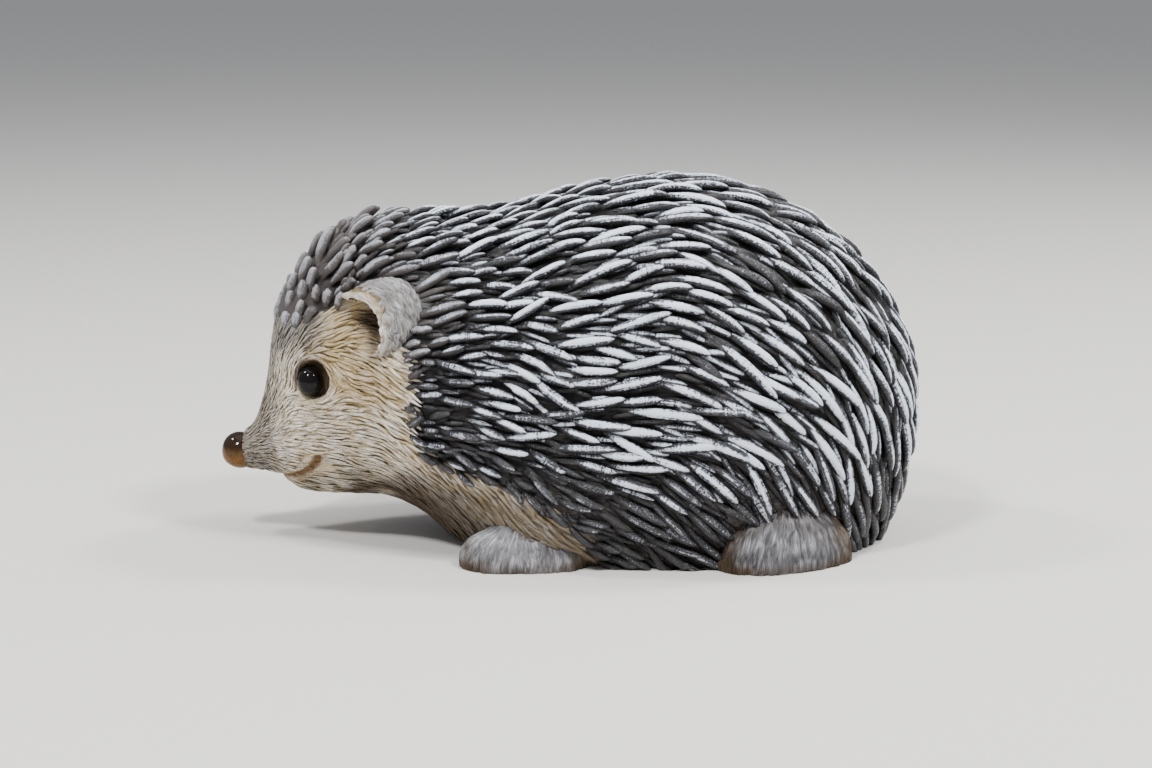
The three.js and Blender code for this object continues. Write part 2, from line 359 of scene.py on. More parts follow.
def shell_of(rings, first, last, values, patch, along=None):
    """A closed shell from rings of points, with a point at each end of the stack. patch is
    its box on the paint map, and along gives each ring's share of the box's height."""
    rows, around = rings.shape[:2]
    share = np.linspace(0, 1, rows) if along is None else along
    left, low, right, high = patch
    upward = low + (high - low) * (MAP_MARGIN + (1 - 2 * MAP_MARGIN) * share)
    spot = lambda spoke, up: np.stack([
        left + (right - left) * (spoke / around), np.broadcast_to(up, spoke.shape)], axis=-1)
    ring, spoke = grid_corners(rows, around)
    quads = ring * around + spoke % around
    spin = np.arange(around)[:, None]
    pole, tail = rows * around, (rows - 1) * around
    into_first = np.hstack([0 * spin + pole, (spin + 1) % around, spin])
    into_last = np.hstack([tail + spin, tail + (spin + 1) % around, 0 * spin + pole + 1])
    fan_map = np.vstack([spot(spin + np.array([0.5, 1, 0]), [low, upward[0], upward[0]]),
                         spot(spin + np.array([0, 1, 0.5]), [upward[-1], upward[-1], high])])
    return dict(points=np.vstack([rings.reshape(-1, 3), first, last]),
                values=with_ends(values, rows, around),
                quads=quads, quad_map=spot(spoke, upward[ring]),
                fans=np.vstack([into_first, into_last]), fan_map=fan_map)


print("faces between three rings of four spokes:", len(grid_corners(3, 4)[0]))


# %% From shells to a piece
def both_sides(rings, values, patches):
    """A shell and its mirror image on the other side of the body, each closed by a point
    at the middle of its first and last ring. The image's spokes are reversed, with their
    values, so that its faces point outward too."""
    turned = {key: value[:, ::-1] for key, value in values.items()}
    sides = (rings, values), (rings[:, ::-1] * [1, -1, 1], turned)
    return [shell_of(ring, ring[0].mean(axis=0), ring[-1].mean(axis=0), kept, patch)
            for (ring, kept), patch in zip(sides, patches)]


def mesh_of(name, shells):
    """Joins shells into one piece."""
    joined = lambda key: np.concatenate([shell[key] for shell in shells])
    start = np.cumsum([0] + [len(shell["points"]) for shell in shells])
    moved = lambda key: np.vstack([shell[key] + start[i] for i, shell in enumerate(shells)])
    values = {key: np.concatenate([shell["values"][key] for shell in shells])
              for key in shells[0]["values"]}
    return new_piece(name, joined("points"), [moved("quads"), moved("fans")],
                     [joined("quad_map"), joined("fan_map")], values)


print("share of a box left free at each end:", MAP_MARGIN)

# %% [markdown]
# ## Carved fur
#
# The modeller pressed the fur into the clay as short, wavy strokes that all follow the lie of
# the coat. Such strokes are noise that is stretched along the hair: wherever a soft random
# value crosses its middle there is a line, and the stretch makes that line run far along the
# hair and wander only a little across it. The strokes are counted round the body, so their
# number has to double as the body widens. Two sets, one twice as fine as the other, fade
# into each other wherever that happens.

# %% Strokes along the hair
CUT_SWAY, CUT_WIDTH = 1.3, 0.2


def chance_of(column, row, seed):
    """A fixed random value from 0 to 1 for each cell: the fraction of a large sine."""
    wild = np.sin(column * 12.9898 + row * 78.233 + seed * 37.719) * 43758.5453
    return wild - np.floor(wild)


def grain(across, along, seed):
    """Soft noise from 0 to 1: the random values of the four nearest cells, mixed by
    3t^2 - 2t^3 each way."""
    column, row = np.floor(across), np.floor(along)
    s, t = across - column, along - row
    s, t = s * s * (3 - 2 * s), t * t * (3 - 2 * t)
    low = chance_of(column, row, seed) * (1 - s) + chance_of(column + 1, row, seed) * s
    high = chance_of(column, row + 1, seed) * (1 - s) + chance_of(column + 1, row + 1, seed) * s
    return low * (1 - t) + high * t


def strokes(across, along, seed):
    """How deep a groove is, 0 to 1, with across counted in strokes and along in their
    lengths. It is 1 where the noise is at its middle, and it fades as that is left."""
    sway = CUT_SWAY * (grain(across / 6, along * 2.6, seed + 1) - 0.5)
    value = grain(across + sway, along, seed)
    finer = grain(across * 1.9 + sway, along * 1.5, seed + 2)
    return 1 - smooth_step(0.0, CUT_WIDTH, np.abs(0.68 * value + 0.32 * finer - 0.5))


def doubling(girth, base):
    """For a girth in mm, the two stroke counts in use and the share of the second. The
    counts are base times powers of two, and each holds still while it is unused."""
    level = np.clip(np.log2(girth / base), 0, 5.999)
    whole = np.floor(level)
    fade = smooth_step(0.25, 0.75, level - whole)
    is_even = whole % 2 == 0
    even = np.where(is_even, whole, whole + 1)
    odd = np.where(is_even, whole + 1, whole)
    return 2**even, 2**odd, np.where(is_even, fade, 1 - fade)


print("a cell's chance:", round(float(chance_of(3.0, 5.0, 1)), 3))

# %% [markdown]
# ## The cast skin
#
# One skin covers the body, face and chest without a seam. It is the loft of the form, with
# its rows close together on the face, where every stroke shows, and wide apart under the
# quills. Sections that would reach below the floor are flattened onto it, which leaves the
# flat-cut base. The skin is pressed in along the mouth and round each eye, and the strokes
# are cut into it wherever it is furred.

# %% Places on the face
EYE_PLACE = np.array([-75.1, 20.7, 51.0])
BALL_PLACE = np.array([-76.7, 20.4, 50.5])
BALL_SIZE = np.array([3.9, 3.9, 4.35])
NOSE_PLACE = np.array([-100.7, 0.0, 25.4])
NOSE_SIZE = np.array([5.4, 5.7, 5.6])
EAR_DENT = np.array([-59.5, 26.0, 70.5])
MOUTH_LINE = np.array([
    (-88.0, 18.2), (-84.4, 19.3), (-81.0, 20.7), (-78.2, 22.6), (-76.2, 24.8), (-75.3, 26.6),
])


def from_place(points, place):
    """The distance from a place, or from its mirror image on the other side."""
    return np.linalg.norm(np.stack([points[:, 0], np.abs(points[:, 1]), points[:, 2]], 1) - place,
                          axis=1)


def bump_at(value, middle, width):
    """A soft bump: the bell curve e^-((value - middle) / width)^2."""
    return np.exp(-((value - middle) / width) ** 2)


print("from eye to nose in mm:", np.linalg.norm(EYE_PLACE - NOSE_PLACE).round(1))

# %% Spokes and rings
SIDE_DENSITY, SIDE_MIDDLE, SIDE_SPREAD = 1.3, math.radians(-5), math.radians(55)


def spoke_turns(count):
    """The angles of the spokes round a section, from the belly up one side and down the
    other. They are closer together on the cheeks: their density is 1 plus a bell."""
    fine = np.linspace(-math.pi / 2, math.pi / 2, 2000)
    density = 1 + SIDE_DENSITY * bump_at(fine, SIDE_MIDDLE, SIDE_SPREAD)
    reach = np.cumsum(density)
    reach = (reach - reach[0]) / (reach[-1] - reach[0])
    side = np.interp(np.linspace(0, 1, count // 2 + 1), reach, fine)
    return np.concatenate([side, (math.pi - side)[-2:0:-1]])


def front_rings(shares, turns):
    """Rings of ellipses: the centre plus cosine times the half width across, and sine
    times the half above or below along the leaning upright."""
    section = sections(shares)[:, None, :]
    sine, cosine = np.sin(turns)[None], np.cos(turns)[None]
    lift = sine * np.where(sine > 0, section[..., 4], section[..., 5])
    return np.stack([section[..., 0] + section[..., 2] * lift, cosine * section[..., 6],
                     section[..., 1] + section[..., 3] * lift], axis=-1)


def rump_rings(angles, turns):
    """Rings of the rump's ellipsoid, which shrink with the cosine of the angle."""
    sine, cosine = np.sin(turns)[None], np.cos(turns)[None]
    shrink, reach = np.cos(angles)[:, None], np.sin(angles)[:, None]
    half = np.where(sine > 0, RUMP_UP - COAT, RUMP_DOWN)
    x = RUMP_START + (RUMP_LENGTH - COAT) * reach + 0 * sine
    return np.stack([x, (RUMP_WIDE - COAT) * cosine * shrink,
                     RUMP_MIDDLE + half * sine * shrink], axis=-1)


widest = front_rings(np.ones(1), np.array([0, math.pi]))[0]
print("widest points of the last ring in front:", widest.round(1).tolist())


# %% The skin's grid
FACE_SHARE, CHEST_SHARE = 10 / 14, 13 / 14
FACE_ROWS, CHEST_ROWS, BACK_ROWS, RUMP_ROWS, SPOKES = 236, 54, 8, 20, 312


def even_shares(first, last, rows):
    """Shares between two ends that lie evenly along the body: the walk down three spokes,
    on the back, the cheek and the belly, is measured and divided."""
    fine = np.linspace(first, last, 1500)
    walk = front_rings(fine, np.array([-math.pi / 2, -0.2, math.pi / 2]))
    steps = np.linalg.norm(np.diff(walk, axis=0), axis=-1).mean(axis=1)
    reach = np.concatenate([[0], np.cumsum(steps)])
    return np.interp(np.arange(rows) / rows * reach[-1], reach, fine)


turns = spoke_turns(SPOKES)
row_shares = np.concatenate([
    even_shares(0.004, FACE_SHARE, FACE_ROWS),
    even_shares(FACE_SHARE, CHEST_SHARE, CHEST_ROWS),
    even_shares(CHEST_SHARE, 1.0, BACK_ROWS),
])
rump_angles = np.linspace(0, math.radians(88), RUMP_ROWS)
form_rings = np.vstack([front_rings(row_shares, turns), rump_rings(rump_angles, turns)])
print("skin rows and spokes:", form_rings.shape[:2])

# %% The skin's own measures
STROKE_BASE = 9.0
STROKE_LENGTH = 11.0
FIRST_COUNT = 30
EYE_PARTING = 5.6
LEAST_GIRTH = 3.0


def grid_normals(rings):
    """The outward normals of a grid: the cross product of its two ways along."""
    down_rows = np.gradient(rings, axis=0)
    closed = np.concatenate([rings[:, -1:], rings, rings[:, :1]], axis=1)
    round_ring = (closed[:, 2:] - closed[:, :-2]) / 2
    normal = np.cross(round_ring, down_rows)
    return normal / np.maximum(np.linalg.norm(normal, axis=-1, keepdims=True), 1e-9)


def walk_down(rings):
    """How far along each ring lies: the steps between rings, averaged and added up."""
    steps = np.linalg.norm(np.diff(rings, axis=0, prepend=rings[:1]), axis=-1)
    return np.cumsum(steps.mean(axis=1))[:, None] + 0 * steps


def parted(turn, radius):
    """Turns the strokes aside at the eye, as a stream parts round a stone: the offset from
    the eye's own line is multiplied by 1 - radius^2 / distance^2."""
    apart = from_place(form_rings.reshape(-1, 3), EYE_PLACE).reshape(turn.shape)
    seat = np.unravel_index(np.argmin(apart), apart.shape)
    eye_turn = turn[seat]
    distance = np.maximum(apart, radius * 0.98)
    return eye_turn + (turn - eye_turn) * (1 - radius**2 / distance**2)


normals = grid_normals(form_rings)
along = walk_down(form_rings)
spoke_length = np.linalg.norm(form_rings - form_rings.mean(axis=1, keepdims=True), axis=-1)
girth = np.maximum(spoke_length.mean(axis=1), LEAST_GIRTH)[:, None] + 0 * along
up_side = np.where(turns > math.pi / 2, math.pi - turns, turns) + math.pi / 2
turn = parted(up_side[None] + 0 * along, EYE_PARTING)
even_count, odd_count, odd_share = doubling(girth, STROKE_BASE)
even_across = turn / math.pi * FIRST_COUNT * even_count
odd_across = turn / math.pi * FIRST_COUNT * odd_count
groove = (strokes(even_across, along / STROKE_LENGTH, 11) * (1 - odd_share)
          + strokes(odd_across, along / STROKE_LENGTH, 12) * odd_share)
print("length of the coat from nose to tail in mm:", round(float(along[-1, 0])))

# %% Broad relief
FOLD_HALF = 0.9
MOUTH_DEPTH, LIP_RISE, LIP_OFFSET = 0.7, 0.4, 1.8
SEAT_DEPTH, SEAT_EDGE, LID_RISE, LID_RADIUS = 3.2, (5.2, 6.2), 0.35, 7.0
DENT_DEPTH, DENT_REACH = 4.2, 6.0
SHOULDER_PLACE, SHOULDER_RISE = np.array([-6.0, 13.0]), 6.5
SHOULDER_REACH = np.array([15.0, 11.0])


def in_side_view(points, place, reach):
    """A soft patch in side view: the bell curve of the distance from a place, each way
    measured in its own reach."""
    return np.exp(-(((points[:, [0, 2]] - place) / reach) ** 2).sum(axis=1))


def broad_relief(points):
    """Height in mm over the form: the shoulder, the lips and the eyelid stand up, and the
    mouth, the eye's seat and the hollow before the ear are pressed in."""
    to_mouth = beyond_line(points, MOUTH_LINE)
    to_eye = from_place(points, EYE_PLACE)
    to_ear = from_place(points, EAR_DENT)
    return (SHOULDER_RISE * in_side_view(points, SHOULDER_PLACE, SHOULDER_REACH)
            + LIP_RISE * bump_at(to_mouth, LIP_OFFSET, FOLD_HALF)
            + LID_RISE * bump_at(to_eye, LID_RADIUS, FOLD_HALF)
            - MOUTH_DEPTH * bump_at(to_mouth, 0, FOLD_HALF)
            - SEAT_DEPTH * (1 - smooth_step(*SEAT_EDGE, to_eye))
            - DENT_DEPTH * bump_at(to_ear, 0, DENT_REACH))


print("relief at the eye in mm:", broad_relief(EYE_PLACE[None]).round(2))

# %% Painted regions
# Strength, middle and reach of each patch of ochre in side view.
OCHRE_PATCHES = [
    (0.8, (-71, 60), (10, 5)), (1.1, (-62, 69), (7, 8)), (0.75, (-60, 52), (10, 9)),
    (-0.25, (-80, 38), (10, 12)),
]
EAR_SHADE = (-57.0, 67.0), (3.4, 8.5)
CHEEK_SHADE = (-60.0, 52.0), (11.0, 9.0)

# Where each region fades in or out, in mm: along X, and for the second ones along Z.
NOSE_ENDS, MOUTH_WIDENS = (-92.5, -82.5), (-86, -77)
FOREHEAD_ENDS, FOREHEAD_FROM = (-78, -68), (56, 64)
THROAT_FROM, THROAT_TOP = (-72, -60), (18, 25)
CHEST_FROM, CHEST_TOP = (-56, -44), (20, 32)
COOL_ENDS, COOL_FROM = (-82, -70), (50, 60)
SOCKET_WIDTH = 1.2


def regions_at(points, normals):
    """The painted regions at places on the form, each 0 to 1: ochre stain, airbrushed grey,
    brown shade, the mouth's line and cool neutral paint. The grey is partly painted shade on
    the throat and chest. The brown is painted shade in the eye's seat, in and by the ear's
    hollow, where the skin faces down, and in part on the throat and chest."""
    x, z = points[:, 0], points[:, 2]
    behind = beyond_line(points)
    to_eye = from_place(points, EYE_PLACE)
    to_ear = from_place(points, EAR_DENT)
    ochre = 0.4 + 0.35 * smooth_step(-8, 0, behind) * (1 - smooth_step(48, 56, z))
    for strength, place, reach in OCHRE_PATCHES:
        ochre = ochre + strength * in_side_view(points, place, reach)
    chest = smooth_step(*CHEST_FROM, x) * (1 - smooth_step(*CHEST_TOP, z))
    # Where the skin faces down, for the painted shade under the head and body.
    underside = smooth_step(0.1, 0.75, -normals[:, 2])
    patchy = 0.5 + 0.5 * ripple(points, 7, 8)
    ochre = ochre + 0.4 * chest * (1 - patchy)
    near_nose = 1 - smooth_step(*NOSE_ENDS, x + 1.5 * ripple(points, 4, 4))
    forehead = (smooth_step(*FOREHEAD_FROM, z + 1.5 * ripple(points, 6, 6))
                * (1 - smooth_step(*FOREHEAD_ENDS, x)))
    # The throat and the chest are greyer and browner, in part as painted shade under the jaw and
    # body.
    throat = smooth_step(*THROAT_FROM, x) * (1 - smooth_step(*THROAT_TOP, z))
    grey = near_nose + forehead + chest * (0.22 + 0.4 * patchy) + 0.25 * throat
    upper_socket = smooth_step(-3, 4, (z - EYE_PLACE[2]) - 0.5 * (x - EYE_PLACE[0]))
    # Painted shade in the eye's seat, in the hollow before the ear and by its rim, and where the
    # skin faces down. The ring round the seat, darker above, and the cheek's patch are darker
    # brown.
    shade = ((0.3 + 0.5 * upper_socket) * bump_at(to_eye, 6.1, SOCKET_WIDTH)
             + 1 - smooth_step(5.2, 6.0, to_eye)
             + 0.95 * bump_at(to_ear, 0, 4.6) + 0.75 * in_side_view(points, *EAR_SHADE)
             + underside * (0.3 + 0.35 * patchy) + 0.24 * in_side_view(points, *CHEEK_SHADE)
             + 0.3 * throat + 0.25 * chest * (1 - patchy))
    mouth = bump_at(beyond_line(points, MOUTH_LINE), 0, 0.7 + 1.0 * smooth_step(*MOUTH_WIDENS, x))
    cool = (0.5 * smooth_step(*COOL_FROM, z) * (1 - smooth_step(*COOL_ENDS, x))
            + 0.25 * chest * patchy)
    regions = dict(ochre=ochre, grey=grey, shade=shade, mouth=mouth, cool=cool)
    return {key: np.clip(value, 0, 1) for key, value in regions.items()}


at_nose = regions_at(NOSE_PLACE[None], np.array([[-1.0, 0.0, 0.0]]))
print("regions at the nose:", {key: value.round(2).tolist() for key, value in at_nose.items()})

# %% The skin's relief
STROKE_DEPTH, STROKE_BED = 0.5, 0.3
FUR_EDGE, LUMPS, BARE_BY_EAR = 1.5, 0.2, 10

points = form_rings.reshape(-1, 3)
flat_normals = normals.reshape(-1, 3)
behind_fur = beyond_line(points)
furred = 1 - smooth_step(-FUR_EDGE, FUR_EDGE, behind_fur + 0.8 * ripple(points, 5, 3))
relief = (broad_relief(points)
          - (STROKE_DEPTH * groove.ravel() + STROKE_BED) * furred
          + LUMPS * ripple(points, 9, 5) * furred)
quilled = smooth_step(-1.0, 1.4, behind_fur + 1.0 * ripple(points, 4, 7))
quilled *= 1 - smooth_step(0.25, 0.7, bump_at(from_place(points, EAR_DENT), 0, BARE_BY_EAR))

skin_values = dict(
    along=along.ravel(), even=even_across.ravel(), odd=odd_across.ravel(),
    share=odd_share.ravel(), groove=(0.3 + 0.5 * groove.ravel()) * furred, quilled=quilled,
    pale=0 * quilled, **regions_at(points, flat_normals))
points = points + flat_normals * relief[:, None]
points[:, 2] = np.maximum(points[:, 2], 0)
print("deepest relief in mm:", round(float(relief.min()), 2))

# %% The skin's mesh
FACE_ON_MAP, CHEST_ON_MAP = 0.76, 0.92
NOSE_POINT = 0.3

skin_rings = points.reshape(form_rings.shape)
last_row = len(skin_rings) - 1
up_the_map = np.interp(np.arange(last_row + 1), [0, FACE_ROWS, FACE_ROWS + CHEST_ROWS, last_row],
                       [0, FACE_ON_MAP, CHEST_ON_MAP, 1.0])
skin_first = skin_rings[0].mean(axis=0) - [NOSE_POINT, 0, 0]
skin_last = np.array([RUMP_START + RUMP_LENGTH - COAT, 0.0, RUMP_MIDDLE])
cast_skin = mesh_of("cast_skin", [
    shell_of(skin_rings, skin_first, skin_last, skin_values, WHOLE_MAP, up_the_map)])

# %% [markdown]
# ## Ears
#
# Each ear is a cupped flap that stands off the side of the head and opens forward and
# outward. It could be cut from a ball with a boolean, but a grid that runs from the back of
# the bowl, over a rolled rim and down into the hollow gives clean strokes and a closed wall.
# The bowl and the hollow are two ellipsoids, and the rim joins them where the mouth cuts
# them both.

# %% Turned ellipsoids
def turning(about_x, about_y, about_z):
    """The matrix of a turn about X, then Y, then Z, in degrees."""
    a, b, c = np.radians([about_x, about_y, about_z])
    turn_x = np.array([[1, 0, 0], [0, np.cos(a), -np.sin(a)], [0, np.sin(a), np.cos(a)]])
    turn_y = np.array([[np.cos(b), 0, np.sin(b)], [0, 1, 0], [-np.sin(b), 0, np.cos(b)]])
    turn_z = np.array([[np.cos(c), -np.sin(c), 0], [np.sin(c), np.cos(c), 0], [0, 0, 1]])
    return turn_z @ turn_y @ turn_x


def directions(axis, polar, spin):
    """Unit vectors on a grid: cos(polar) along the axis, and sin(polar) round it, where the
    spin starts from the upward side."""
    axis = axis / np.linalg.norm(axis)
    upward = np.array([0.0, 0.0, 1.0]) - axis * axis[2]
    upward /= np.linalg.norm(upward)
    sideward = np.cross(axis, upward)
    polar, spin = polar[:, None, None], spin[None, :, None]
    round_axis = np.cos(spin) * upward + np.sin(spin) * sideward
    return np.cos(polar) * axis + np.sin(polar) * round_axis


print("forward, turned by 42 degrees:", (turning(0, 0, 42) @ [-1.0, 0.0, 0.0]).round(2).tolist())

# %% The ear's cup
EAR_LEAN = turning(0, -17, 0)
EAR_PLACE, EAR_FORM = np.array([-53.4, -27.5, 70.3]), EAR_LEAN @ np.diag([12.6, 10.4, 12.1])
HOLLOW_PLACE, HOLLOW_FORM = np.array([-57.9, -30.5, 70.1]), EAR_LEAN @ np.diag([9, 8, 9.8])
MOUTH_PLACE = np.array([-60.6, -31, 70.3])
MOUTH_FACING = turning(0, -9, 42) @ np.array([-1.0, 0, 0])
EAR_SPOKES, BOWL_ROWS, RIM_ROWS, HOLLOW_ROWS = 150, 96, 12, 40
RIM_RISE = 0.45


def bowl(place, form, share_start, share_end, rows, spin):
    """Part of an ellipsoid, from one polar angle to another, as shares of the half turn that
    ends at its mouth. The mouth is where the axis reaches the plane of MOUTH_PLACE."""
    axis = form.T @ MOUTH_FACING
    cut = MOUTH_FACING @ (MOUTH_PLACE - place) / np.linalg.norm(axis)
    mouth_angle = math.acos(np.clip(cut, -0.99, 0.99))
    polar = math.pi - (math.pi - mouth_angle) * np.linspace(share_start, share_end, rows)
    return place + directions(axis, polar, spin) @ form.T


def ear_rings():
    """The bowl's outside, a half round over the rim, and the hollow's inside. The rim is
    middle + half the wall times the cosine + a rise times the sine, from 0 to 180
    degrees."""
    spin = np.linspace(0, 2 * math.pi, EAR_SPOKES, endpoint=False)
    outside = bowl(EAR_PLACE, EAR_FORM, 0.03, 1.0, BOWL_ROWS, spin)
    inside = bowl(HOLLOW_PLACE, HOLLOW_FORM, 1.0, 0.03, HOLLOW_ROWS, spin)
    edge, lip = outside[-1], inside[0]
    wave = np.linspace(0, math.pi, RIM_ROWS + 2)[1:-1, None, None]
    rise = RIM_RISE * np.linalg.norm(edge - lip, axis=1)[None, :, None]
    rim = ((edge + lip) / 2 + (edge - lip) / 2 * np.cos(wave)
           + MOUTH_FACING * rise * np.sin(wave))
    return np.concatenate([outside, rim, inside])


# %% The ear's open front
FRONT_EDGE, FRONT_SINK, CORNER_DRAWN = -60.2, 8.0, 3.4


def sunk_front(rings):
    """Slides the front of the cup's wall into the head, below the ear's top corner, so that
    the hollow opens straight onto the fur of the face. The corner itself is drawn forward."""
    x, z = rings[..., 0], rings[..., 2]
    inward = (FRONT_SINK * smooth_step(FRONT_EDGE, FRONT_EDGE - 5, x)
              * (1 - smooth_step(75.5, 79.5, z)))
    forward = CORNER_DRAWN * smooth_step(70, 77, z) * (1 - smooth_step(-64, -54, x))
    return (rings + inward[..., None] * np.array([0.25, 1.0, 0.0])
            + forward[..., None] * np.array([-1.0, 0.25, -0.35]))


ear = sunk_front(ear_rings())
print("ear rows and spokes:", ear.shape[:2])

# %% Strokes and paint values of the ears
EAR_RADIUS, EAR_STROKE, EAR_STROKE_LENGTH = 11, 0.72, 4.5
EAR_CUTS, RIM_SWELL, RIM_LUMPS = 0.58, 0.2, 0.26
EAR_PATCHES = [(0.0, 0.0, 0.48, 1.0), (0.52, 0.0, 1.0, 1.0)]

ear_across = walk_down(ear) / EAR_STROKE
ear_spin = np.abs(np.linspace(-math.pi, math.pi, EAR_SPOKES, endpoint=False))[None]
ear_along = ear_spin * EAR_RADIUS + 0 * ear_across
ear_row = np.arange(len(ear))[:, None] + 0 * ear_across
into_hollow = smooth_step(-1, 5, ear_row - (BOWL_ROWS + RIM_ROWS))
deep_hollow = smooth_step(1, 10, ear_row - (BOWL_ROWS + RIM_ROWS))
on_rim = bump_at(ear_row, BOWL_ROWS + 3, 9)
swirl = 1.1 * ripple(ear, 4.5, 24)
ear_groove = (strokes(ear_across + swirl, ear_along / EAR_STROKE_LENGTH, 21)
              * (1 - 0.6 * on_rim))
uneven = ripple(ear, 3.5, 22)
lumpy = ripple(ear, 1.7, 23)
ear_relief = (RIM_SWELL * on_rim - EAR_CUTS * ear_groove + (0.2 + 0.3 * on_rim) * uneven
              + RIM_LUMPS * on_rim * lumpy)
ear = ear + grid_normals(ear) * ear_relief[..., None]
# The hollow is ochre, with brown that deepens inside it as painted shade under the rim.
ear_values = dict(
    along=ear_along, even=ear_across, odd=ear_across, share=0 * ear_along,
    groove=ear_groove * (1 - into_hollow), ochre=0.2 + 1.0 * into_hollow, grey=0 * ear_along,
    shade=0.5 * into_hollow + 0.4 * deep_hollow, mouth=0 * ear_along, quilled=0 * ear_along,
    cool=0.95 * (1 - into_hollow) * (1 - on_rim),
    pale=0.8 * on_rim * (1 - into_hollow) * smooth_step(-0.8, 0.6, uneven + 0.6 * lumpy))
ears = mesh_of("ears", both_sides(ear, ear_values, EAR_PATCHES))

# %% [markdown]
# ## Paws
#
# The paws are plain mittens: low rounded domes with strokes that run down from the top on
# all sides, as a comb would draw them in clay. Each is an ellipsoid, flattened onto the
# floor where it would pass below it. Its grid runs from the top down, so the strokes only
# have to follow its spokes.

# %% Domes for the paws
FOREPAW_PLACE = np.array([-13.5, -40.5, 1.5])
FOREPAW_FORM = turning(0, 0, 4) @ np.diag([19, 11, 11.5])
HINDPAW_PLACE = np.array([62, -37.5, 1])
HINDPAW_FORM = turning(0, 0, 27) @ np.diag([22, 13, 18.5])
PAW_ROWS, PAW_SPOKES = 64, 180


def dome(place, form, blunt):
    """An ellipsoid from its top down, a little squarer in plan than an ellipse: the plan
    radius is multiplied by 1 + blunt times sin^2 of twice the spin."""
    polar = np.radians(np.linspace(2, 176, PAW_ROWS))[:, None]
    spin = np.linspace(0, -2 * math.pi, PAW_SPOKES, endpoint=False)[None]
    wide = np.sin(polar) * (1 + blunt * np.sin(2 * spin) ** 2)
    unit = np.stack([wide * np.cos(spin), wide * np.sin(spin), np.cos(polar) + 0 * spin], axis=-1)
    rings = place + unit @ form.T
    return rings, polar + 0 * spin, spin + 0 * polar


print("top of the hind paw:", dome(HINDPAW_PLACE, HINDPAW_FORM, 0)[0][0, 0].round(1))

# %% Combed strokes
PAW_STROKE_LENGTH, PAW_LUMPS, PAW_CUTS = 7, 0.35, 0.62

# For each pair of paws: how blunt, the strokes to half a turn, how grey, the seed, and the
# boxes on the paint map.
FOREPAW = (0.05, 66, 0.12, 31, [(0.0, 0.0, 0.48, 0.48), (0.52, 0.0, 1.0, 0.48)])
HINDPAW = (0.03, 84, 0.84, 41, [(0.0, 0.52, 0.48, 1.0), (0.52, 0.52, 1.0, 1.0)])


def paw_shells(place, form, blunt, count, greyness, seed, patches):
    """A paw and its mirror image, with strokes cut down their sides, and flattened onto
    the floor."""
    rings, polar, spin = dome(place, form, blunt)
    along = walk_down(rings)
    across = np.abs(spin / math.pi + 1) * count
    cut = strokes(across, along / PAW_STROKE_LENGTH, seed) * smooth_step(0.1, 0.5, polar)
    uneven = ripple(rings, 7, seed + 1)
    rings = rings + grid_normals(rings) * (PAW_LUMPS * uneven - PAW_CUTS * cut)[..., None]
    height = rings[..., 2]
    body = centre_and_ratio(rings.reshape(-1, 3))[1].reshape(along.shape)
    by_body = 1 - smooth_step(1.0, 1.22, body + 0.03 * uneven)
    rings[..., 2] = np.maximum(height, 0)
    lengthwise = (rings[..., 0] - place[0]) / np.linalg.norm(form[0])
    toe = 1 - smooth_step(-0.9, -0.35, lengthwise)
    heel = smooth_step(0.55, 0.85, lengthwise)
    # Grey and brown darken each paw near the floor and where it meets the body, as painted shade.
    # The toe and the heel are browner too.
    values = dict(
        along=along, even=across, odd=across, share=0 * along, groove=cut,
        ochre=0.1 + 0.2 * toe + 0.9 * heel,
        grey=np.clip(greyness * (0.75 + 0.5 * uneven + 0.5 * by_body)
                     + 0.4 * (1 - smooth_step(2, 10, height)), 0, 1),
        shade=np.clip(0.6 * (1 - smooth_step(0.4, 5.0, height)) + 0.35 * toe + 0.2 * heel
                      + 0.6 * greyness * by_body, 0, 1),
        mouth=0 * along, quilled=0 * along, cool=0 * along, pale=0 * along)
    return both_sides(rings, values, patches)


paws = mesh_of("paws", paw_shells(FOREPAW_PLACE, FOREPAW_FORM, *FOREPAW)
               + paw_shells(HINDPAW_PLACE, HINDPAW_FORM, *HINDPAW))

# %% [markdown]
# ## Quills
#
# The quills are the ornament's main feature: thick tapered ridges, like grains of rice, that
# lie nearly flat and overlap like shingles. Hair curves would be too thin and too regular.
# Here each quill is a small mesh of its own, bent along the back. Their places come from
# darts thrown at the skin, where a dart counts only if no earlier one lies too close, with
# more room asked along a quill than across it. A second, smaller set fills the gaps between
# the first, as the carver's knife did.

# %% The lie of the quills
# How far below the level the quills point, in degrees: at the rump, low on the flank, at
# most, on the crown by place along X, and in two patches by their middle and reach.
RUMP_DROOP, FLANK_DROOP, MOST_DROOP = 80, 28, 84
CROWN_AT, CROWN_DROOP = [-92, -85, -65, -45, -30], [-62, -58, -28, -4, 0]
DROOP_PATCHES = [(24, (-8, 54), (14, 12)), (-10, (14, 84), (14, 9))]


def laid_flat(way, normal):
    """A way made to lie in the surface: its part along the normal is taken off, and the
    rest is given unit length."""
    flat = way - normal * (way * normal).sum(axis=1, keepdims=True)
    return flat / np.maximum(np.linalg.norm(flat, axis=1, keepdims=True), 1e-6)


